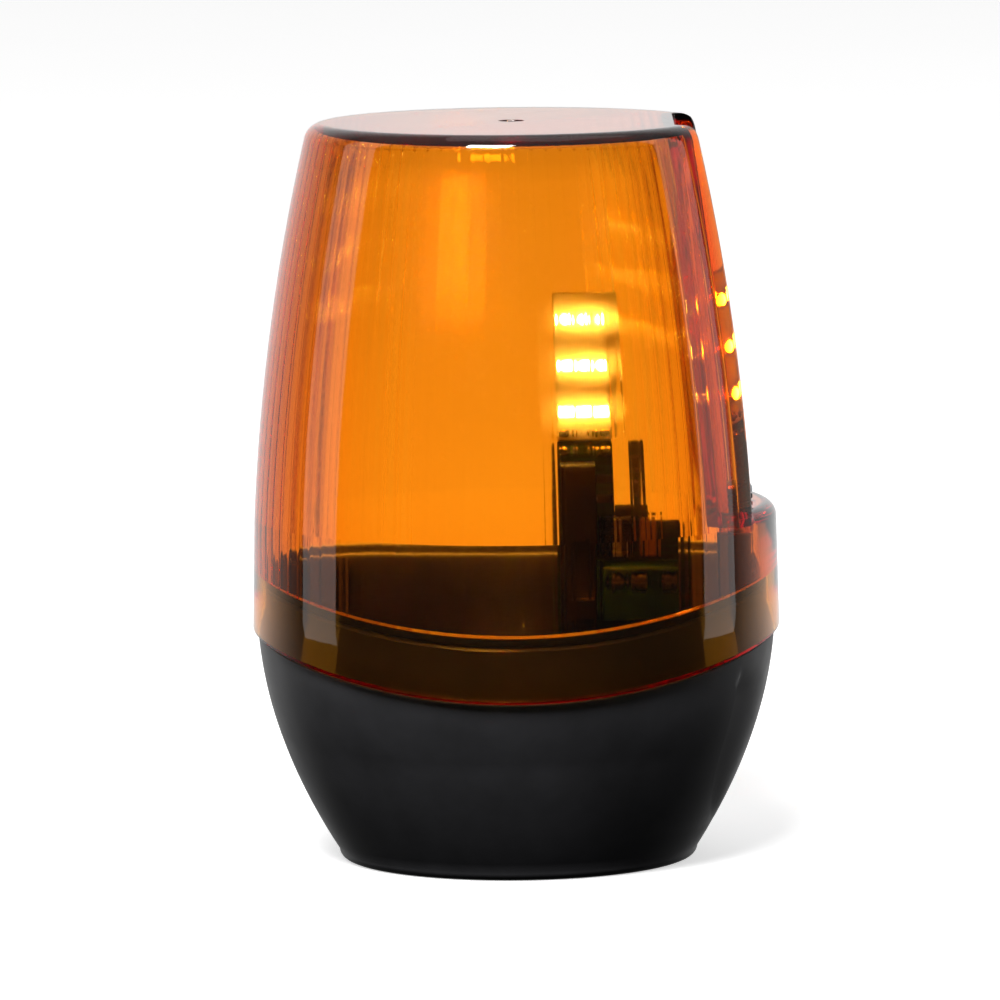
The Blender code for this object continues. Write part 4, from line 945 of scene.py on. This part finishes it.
def makeTerminalBlock():
    low, high, mid = span("terminal_block")
    body, mesh = bmesh.new(), bmesh.new()
    addBox(body, low, high, 0.45 * mm)
    # ridge between the poles
    for i in range(2):
        x = (terminalXs[i] + terminalXs[i + 1]) / 2
        addBox(mesh, (x - 0.35 * mm, low.y - 0.0 * mm, low.z + 0.6 * mm), (x + 0.35 * mm, low.y + 1 * mm, high.z - 0.3 * mm), 0.15 * mm, 0, 2)
    cuts = []
    for n, x in zip((1, 2, 3), terminalXs):
        screwZ = span(f"terminal_screw_{n}")[2].z
        cuts.append(("DIFFERENCE", turnedCutter([(2.1 * mm, 0), (2.1 * mm, 2.7 * mm), (1.5 * mm, 2.8 * mm), (1.5 * mm, 7.2 * mm)],
                                                (x, low.y - 0.05 * mm, screwZ), "Y", 40)))
        cuts.append(("DIFFERENCE", boxCutter((x - 1.7 * mm, high.y - 5.4 * mm, low.z - 1 * mm), (x + 1.7 * mm, high.y - 2 * mm, low.z + 4.6 * mm), 0.3 * mm)))
        # plated clamp plate at the back of each wire entry
        addBox(mesh, (x - 1.5 * mm, high.y - 2.2 * mm, low.z + 0.8 * mm), (x + 1.5 * mm, high.y - 1.9 * mm, low.z + 4.4 * mm), 0.1 * mm, 1, 1)
    return piece("terminalBlock", body, [greenNylon, steel], "base", "terminal_block", 30, cuts, mesh)


def makeSmoothing():
    low, high, mid = span("smoothing_capacitor")
    radius, height = (high.x - low.x) / 2, high.z - low.z
    base = low.z
    mesh = bmesh.new()
    sleeveLine = softened([(radius * 0.72, 0.02 * mm), (radius, 0.02 * mm), (radius, 0.9 * mm), (radius * 0.93, 1.15 * mm), (radius, 1.45 * mm),
                           (radius, height), (radius * 0.8, height - 0.02 * mm)], 0.35 * mm, 4)
    verts = addTurned(mesh, [(r, base + z) for r, z in sleeveLine], (mid.x, mid.y, 0), steps=60)
    for face in {f for v in verts for f in v.link_faces}:
        centre = face.calc_center_median() - Vector((mid.x, mid.y, 0))
        if -2.0 < math.atan2(centre.y, centre.x) < -1.35:
            face.material_index = 1
    # bare can top with its pressed cross vent
    addTurned(mesh, [(radius * 0.84, base + height - 0.3 * mm), (radius * 0.84, base + height - 0.05 * mm), (radius * 0.7, base + height - 0.12 * mm), (0, base + height - 0.12 * mm)],
              (mid.x, mid.y, 0), slot=2)
    for turn in (0, 1):
        wide = (radius * 0.6, 0.09 * mm) if turn else (0.09 * mm, radius * 0.6)
        addBox(mesh, (mid.x - wide[0], mid.y - wide[1], base + height - 0.2 * mm), (mid.x + wide[0], mid.y + wide[1], base + height - 0.08 * mm), 0.03 * mm, 2, 1)
    return piece("smoothingCapacitor", mesh, [sleeve, sleeveStripe, aluminium], "base", "smoothing_capacitor", 34)


def makeFilm():
    low, high, mid = span("film_capacitor")
    mesh = bmesh.new()
    addBox(mesh, low, high, 0.35 * mm)
    addBox(mesh, (low.x + 0.5 * mm, high.y - 0.3 * mm, low.z + 0.5 * mm), (high.x - 0.5 * mm, high.y + 0.25 * mm, high.z - 0.5 * mm), 0.1 * mm, 1, 2)
    return piece("filmCapacitor", mesh, [filmCase, moulding], "base", "film_capacitor", 30)


def makePackage(name, node, legs, pitch):
    """Moulded body with bent tinned legs down to the board on both sides."""
    low, high, mid = span(node)
    body, mesh = bmesh.new(), bmesh.new()
    addBox(body, (low.x, low.y + 0.35 * mm, low.z), (high.x, high.y, high.z), 0.4 * mm)
    for side in (-1, 1):
        edge = low.x if side < 0 else high.x
        for i in range(legs):
            z = mid.z + (i - (legs - 1) / 2) * pitch * mm
            for x0, x1, y0, y1 in ((edge - side * 0.3 * mm, edge + side * 0.75 * mm, 1.9 * mm, 2.15 * mm),
                                   (edge + side * 0.5 * mm, edge + side * 0.75 * mm, 0.95 * mm, 2.15 * mm),
                                   (edge + side * 0.5 * mm, edge + side * 1.4 * mm, 0.85 * mm, 1.05 * mm)):
                addBox(mesh, (min(x0, x1), y0, z - 0.3 * mm), (max(x0, x1), y1, z + 0.3 * mm), 0.05 * mm, 1, 1)
    cut = turnedCutter([(0.5 * mm, high.y - 0.25 * mm), (0.5 * mm, high.y + 1 * mm)], (low.x + 1.1 * mm, 0, high.z - 1.1 * mm), "Y", 24)
    return piece(name, body, [moulding, tin], "base", node, 30, [("DIFFERENCE", cut)], mesh)


def makeInductor():
    low, high, mid = span("power_inductor")
    radius, height = (high.x - low.x) / 2, high.y - low.y
    mesh = bmesh.new()
    core = softened([(0, 0.02 * mm), (radius, 0.02 * mm), (radius, 1.0 * mm), (radius * 0.55, 1.0 * mm), (radius * 0.55, height - 1.0 * mm),
                     (radius, height - 1.0 * mm), (radius, height), (0, height)], 0.2 * mm, 3)
    addTurned(mesh, core, (mid.x, low.y, mid.z), "Y", 56)
    winding = [(radius * 0.5, 1.02 * mm)]
    turns = 9
    for i in range(turns):
        base = 1.02 * mm + (height - 2.04 * mm) * i / turns
        step = (height - 2.04 * mm) / turns
        winding += [(radius * 0.84 + step / 2 * math.sin(a), base + step / 2 - step / 2 * math.cos(a)) for a in (0.25, 0.9, 1.57, 2.24, 2.89)]
    winding.append((radius * 0.5, height - 1.02 * mm))
    addTurned(mesh, winding, (mid.x, low.y, mid.z), "Y", 56, 1)
    return piece("powerInductor", mesh, [ferrite, copperWire], "base", "power_inductor", 40)


makeTerminalBlock()
makeSmoothing()
makeFilm()
makePackage("bridgeRectifier", "bridge_rectifier", 2, 4.2)
makePackage("controlChip", "control_chip", 4, 2.1)
makeInductor()
print("board parts built")


# ---- floor, light and camera

stageLook = {"behind": 0.95, "front": 0.03, "above": 0.35, "floorGlow": 0.6, "sideLight": 1.6, "topLight": 1.2, "frontLight": 62.0}

floorMesh = bmesh.new()
rim = [(12 * math.cos(math.tau * i / 96), 12 * math.sin(math.tau * i / 96)) for i in range(96)]
floorMesh.faces.new([floorMesh.verts.new((x, y, 0)) for x, y in rim])
floor = bpy.data.objects.new("floor", bpy.data.meshes.new("floor"))
floorMesh.to_mesh(floor.data)
floorMesh.free()
paper, paperTree, paperMain, _ = surface(
    "back-lit opal acrylic table", {"IOR": 1.49, "Emission Strength": stageLook["floorGlow"]},
    ("#E4E4E4", "#E8E8E8"), 400.0, (0.8, 0.9))
paperMain.inputs["Emission Color"].default_value = (1, 1, 1, 1)
# the table shows itself and shows through the lens, but anything that mirrors or scatters sees the room instead
rays = add(paperTree, "LightPath")
bounces = add(paperTree, "Math", {"operation": "ADD"}, {0: rays.outputs["Glossy Depth"], 1: rays.outputs["Diffuse Depth"]})
mirrored = add(paperTree, "Math", {"operation": "GREATER_THAN", 1: 0.5}, {0: bounces.outputs[0]})
clear = add(paperTree, "BsdfTransparent")
shown = add(paperTree, "MixShader", links={0: mirrored.outputs[0], 1: paperMain.outputs[0], 2: clear.outputs[0]})
paperTree.links.new(shown.outputs[0], paperTree.nodes["Material Output"].inputs["Surface"])
floor.data.materials.append(paper)
scene.collection.objects.link(floor)

world = bpy.data.worlds.new("soft white room")
world.use_nodes = True
background = world.node_tree.nodes["Background"]
background.inputs["Color"].default_value = (1, 1, 1, 1)
# white behind and beside the light, and dark on the camera's side, so that the front of the lens stays clear
toward = add(world.node_tree, "SeparateXYZ", links={0: add(world.node_tree, "TexCoord").outputs["Generated"]})
glow = add(world.node_tree, "MapRange", {
    "interpolation_type": "SMOOTHSTEP", "From Min": 0.2, "From Max": 1.12,
    "To Min": stageLook["front"], "To Max": stageLook["behind"]}, {"Value": toward.outputs["Y"]})
low = add(world.node_tree, "MapRange", {
    "interpolation_type": "SMOOTHSTEP", "From Min": -0.5, "From Max": -0.1, "To Min": 0.1, "To Max": 1.0},
    {"Value": toward.outputs["Z"]})
both = add(world.node_tree, "Math", {"operation": "MULTIPLY"}, {0: glow.outputs["Result"], 1: low.outputs["Result"]})
ceiling = add(world.node_tree, "MapRange", {
    "interpolation_type": "SMOOTHSTEP", "From Min": 0.35, "From Max": 0.8, "To Min": 0.0, "To Max": stageLook["above"]},
    {"Value": toward.outputs["Z"]})
total = add(world.node_tree, "Math", {"operation": "MAXIMUM"}, {0: both.outputs[0], 1: ceiling.outputs["Result"]})
world.node_tree.links.new(total.outputs[0], background.inputs["Strength"])
scene.world = world


def areaLight(name, place, target, size, power):
    lamp = bpy.data.lights.new(name, "AREA")
    lamp.shape, lamp.size, lamp.size_y, lamp.energy = "RECTANGLE", size[0], size[1], power
    made = bpy.data.objects.new(name, lamp)
    made.location = place
    made.rotation_euler = (Vector(target) - Vector(place)).to_track_quat("-Z", "Y").to_euler()
    scene.collection.objects.link(made)
    return made


areaLight("softLeft", (-1.2, 0.1, 0.4), (0, 0, 0.08), (0.5, 1.2), stageLook["sideLight"])
areaLight("softRight", (1.2, 0.2, 0.4), (0, 0, 0.08), (0.5, 1.2), stageLook["sideLight"])
areaLight("softTop", (0.1, 0.3, 1.4), (0, 0, 0.1), (0.9, 0.9), stageLook["topLight"])
areaLight("softFront", (-0.4, -1.4, 1.9), (0, 0, 0.05), (0.8, 0.8), stageLook["frontLight"])

view = {"distance": 1.77, "height": 0.277, "aim": (-0.003, 0, 0.0713), "lens": 322, "roll": -0.6}
camera = bpy.data.objects.new("camera", bpy.data.cameras.new("camera"))
camera.data.lens = view["lens"]
camera.data.clip_start = 0.1
scene.collection.objects.link(camera)
place = Vector((0, -view["distance"], view["height"]))
turn = (Vector(view["aim"]) - place).to_track_quat("-Z", "Y").to_matrix()
camera.matrix_world = Matrix.Translation(place) @ (turn @ Matrix.Rotation(math.radians(view["roll"]), 3, "Z")).to_4x4()
scene.camera = camera

scene.view_settings.view_transform = "Standard"
scene.cycles.max_bounces = 24
scene.cycles.transmission_bounces = 24
scene.cycles.glossy_bounces = 12
scene.cycles.diffuse_bounces = 4
scene.cycles.transparent_max_bounces = 16
scene.cycles.sample_clamp_indirect = 150    # the LEDs are seen through the lens, so a low clamp would dull them

print("stage set")
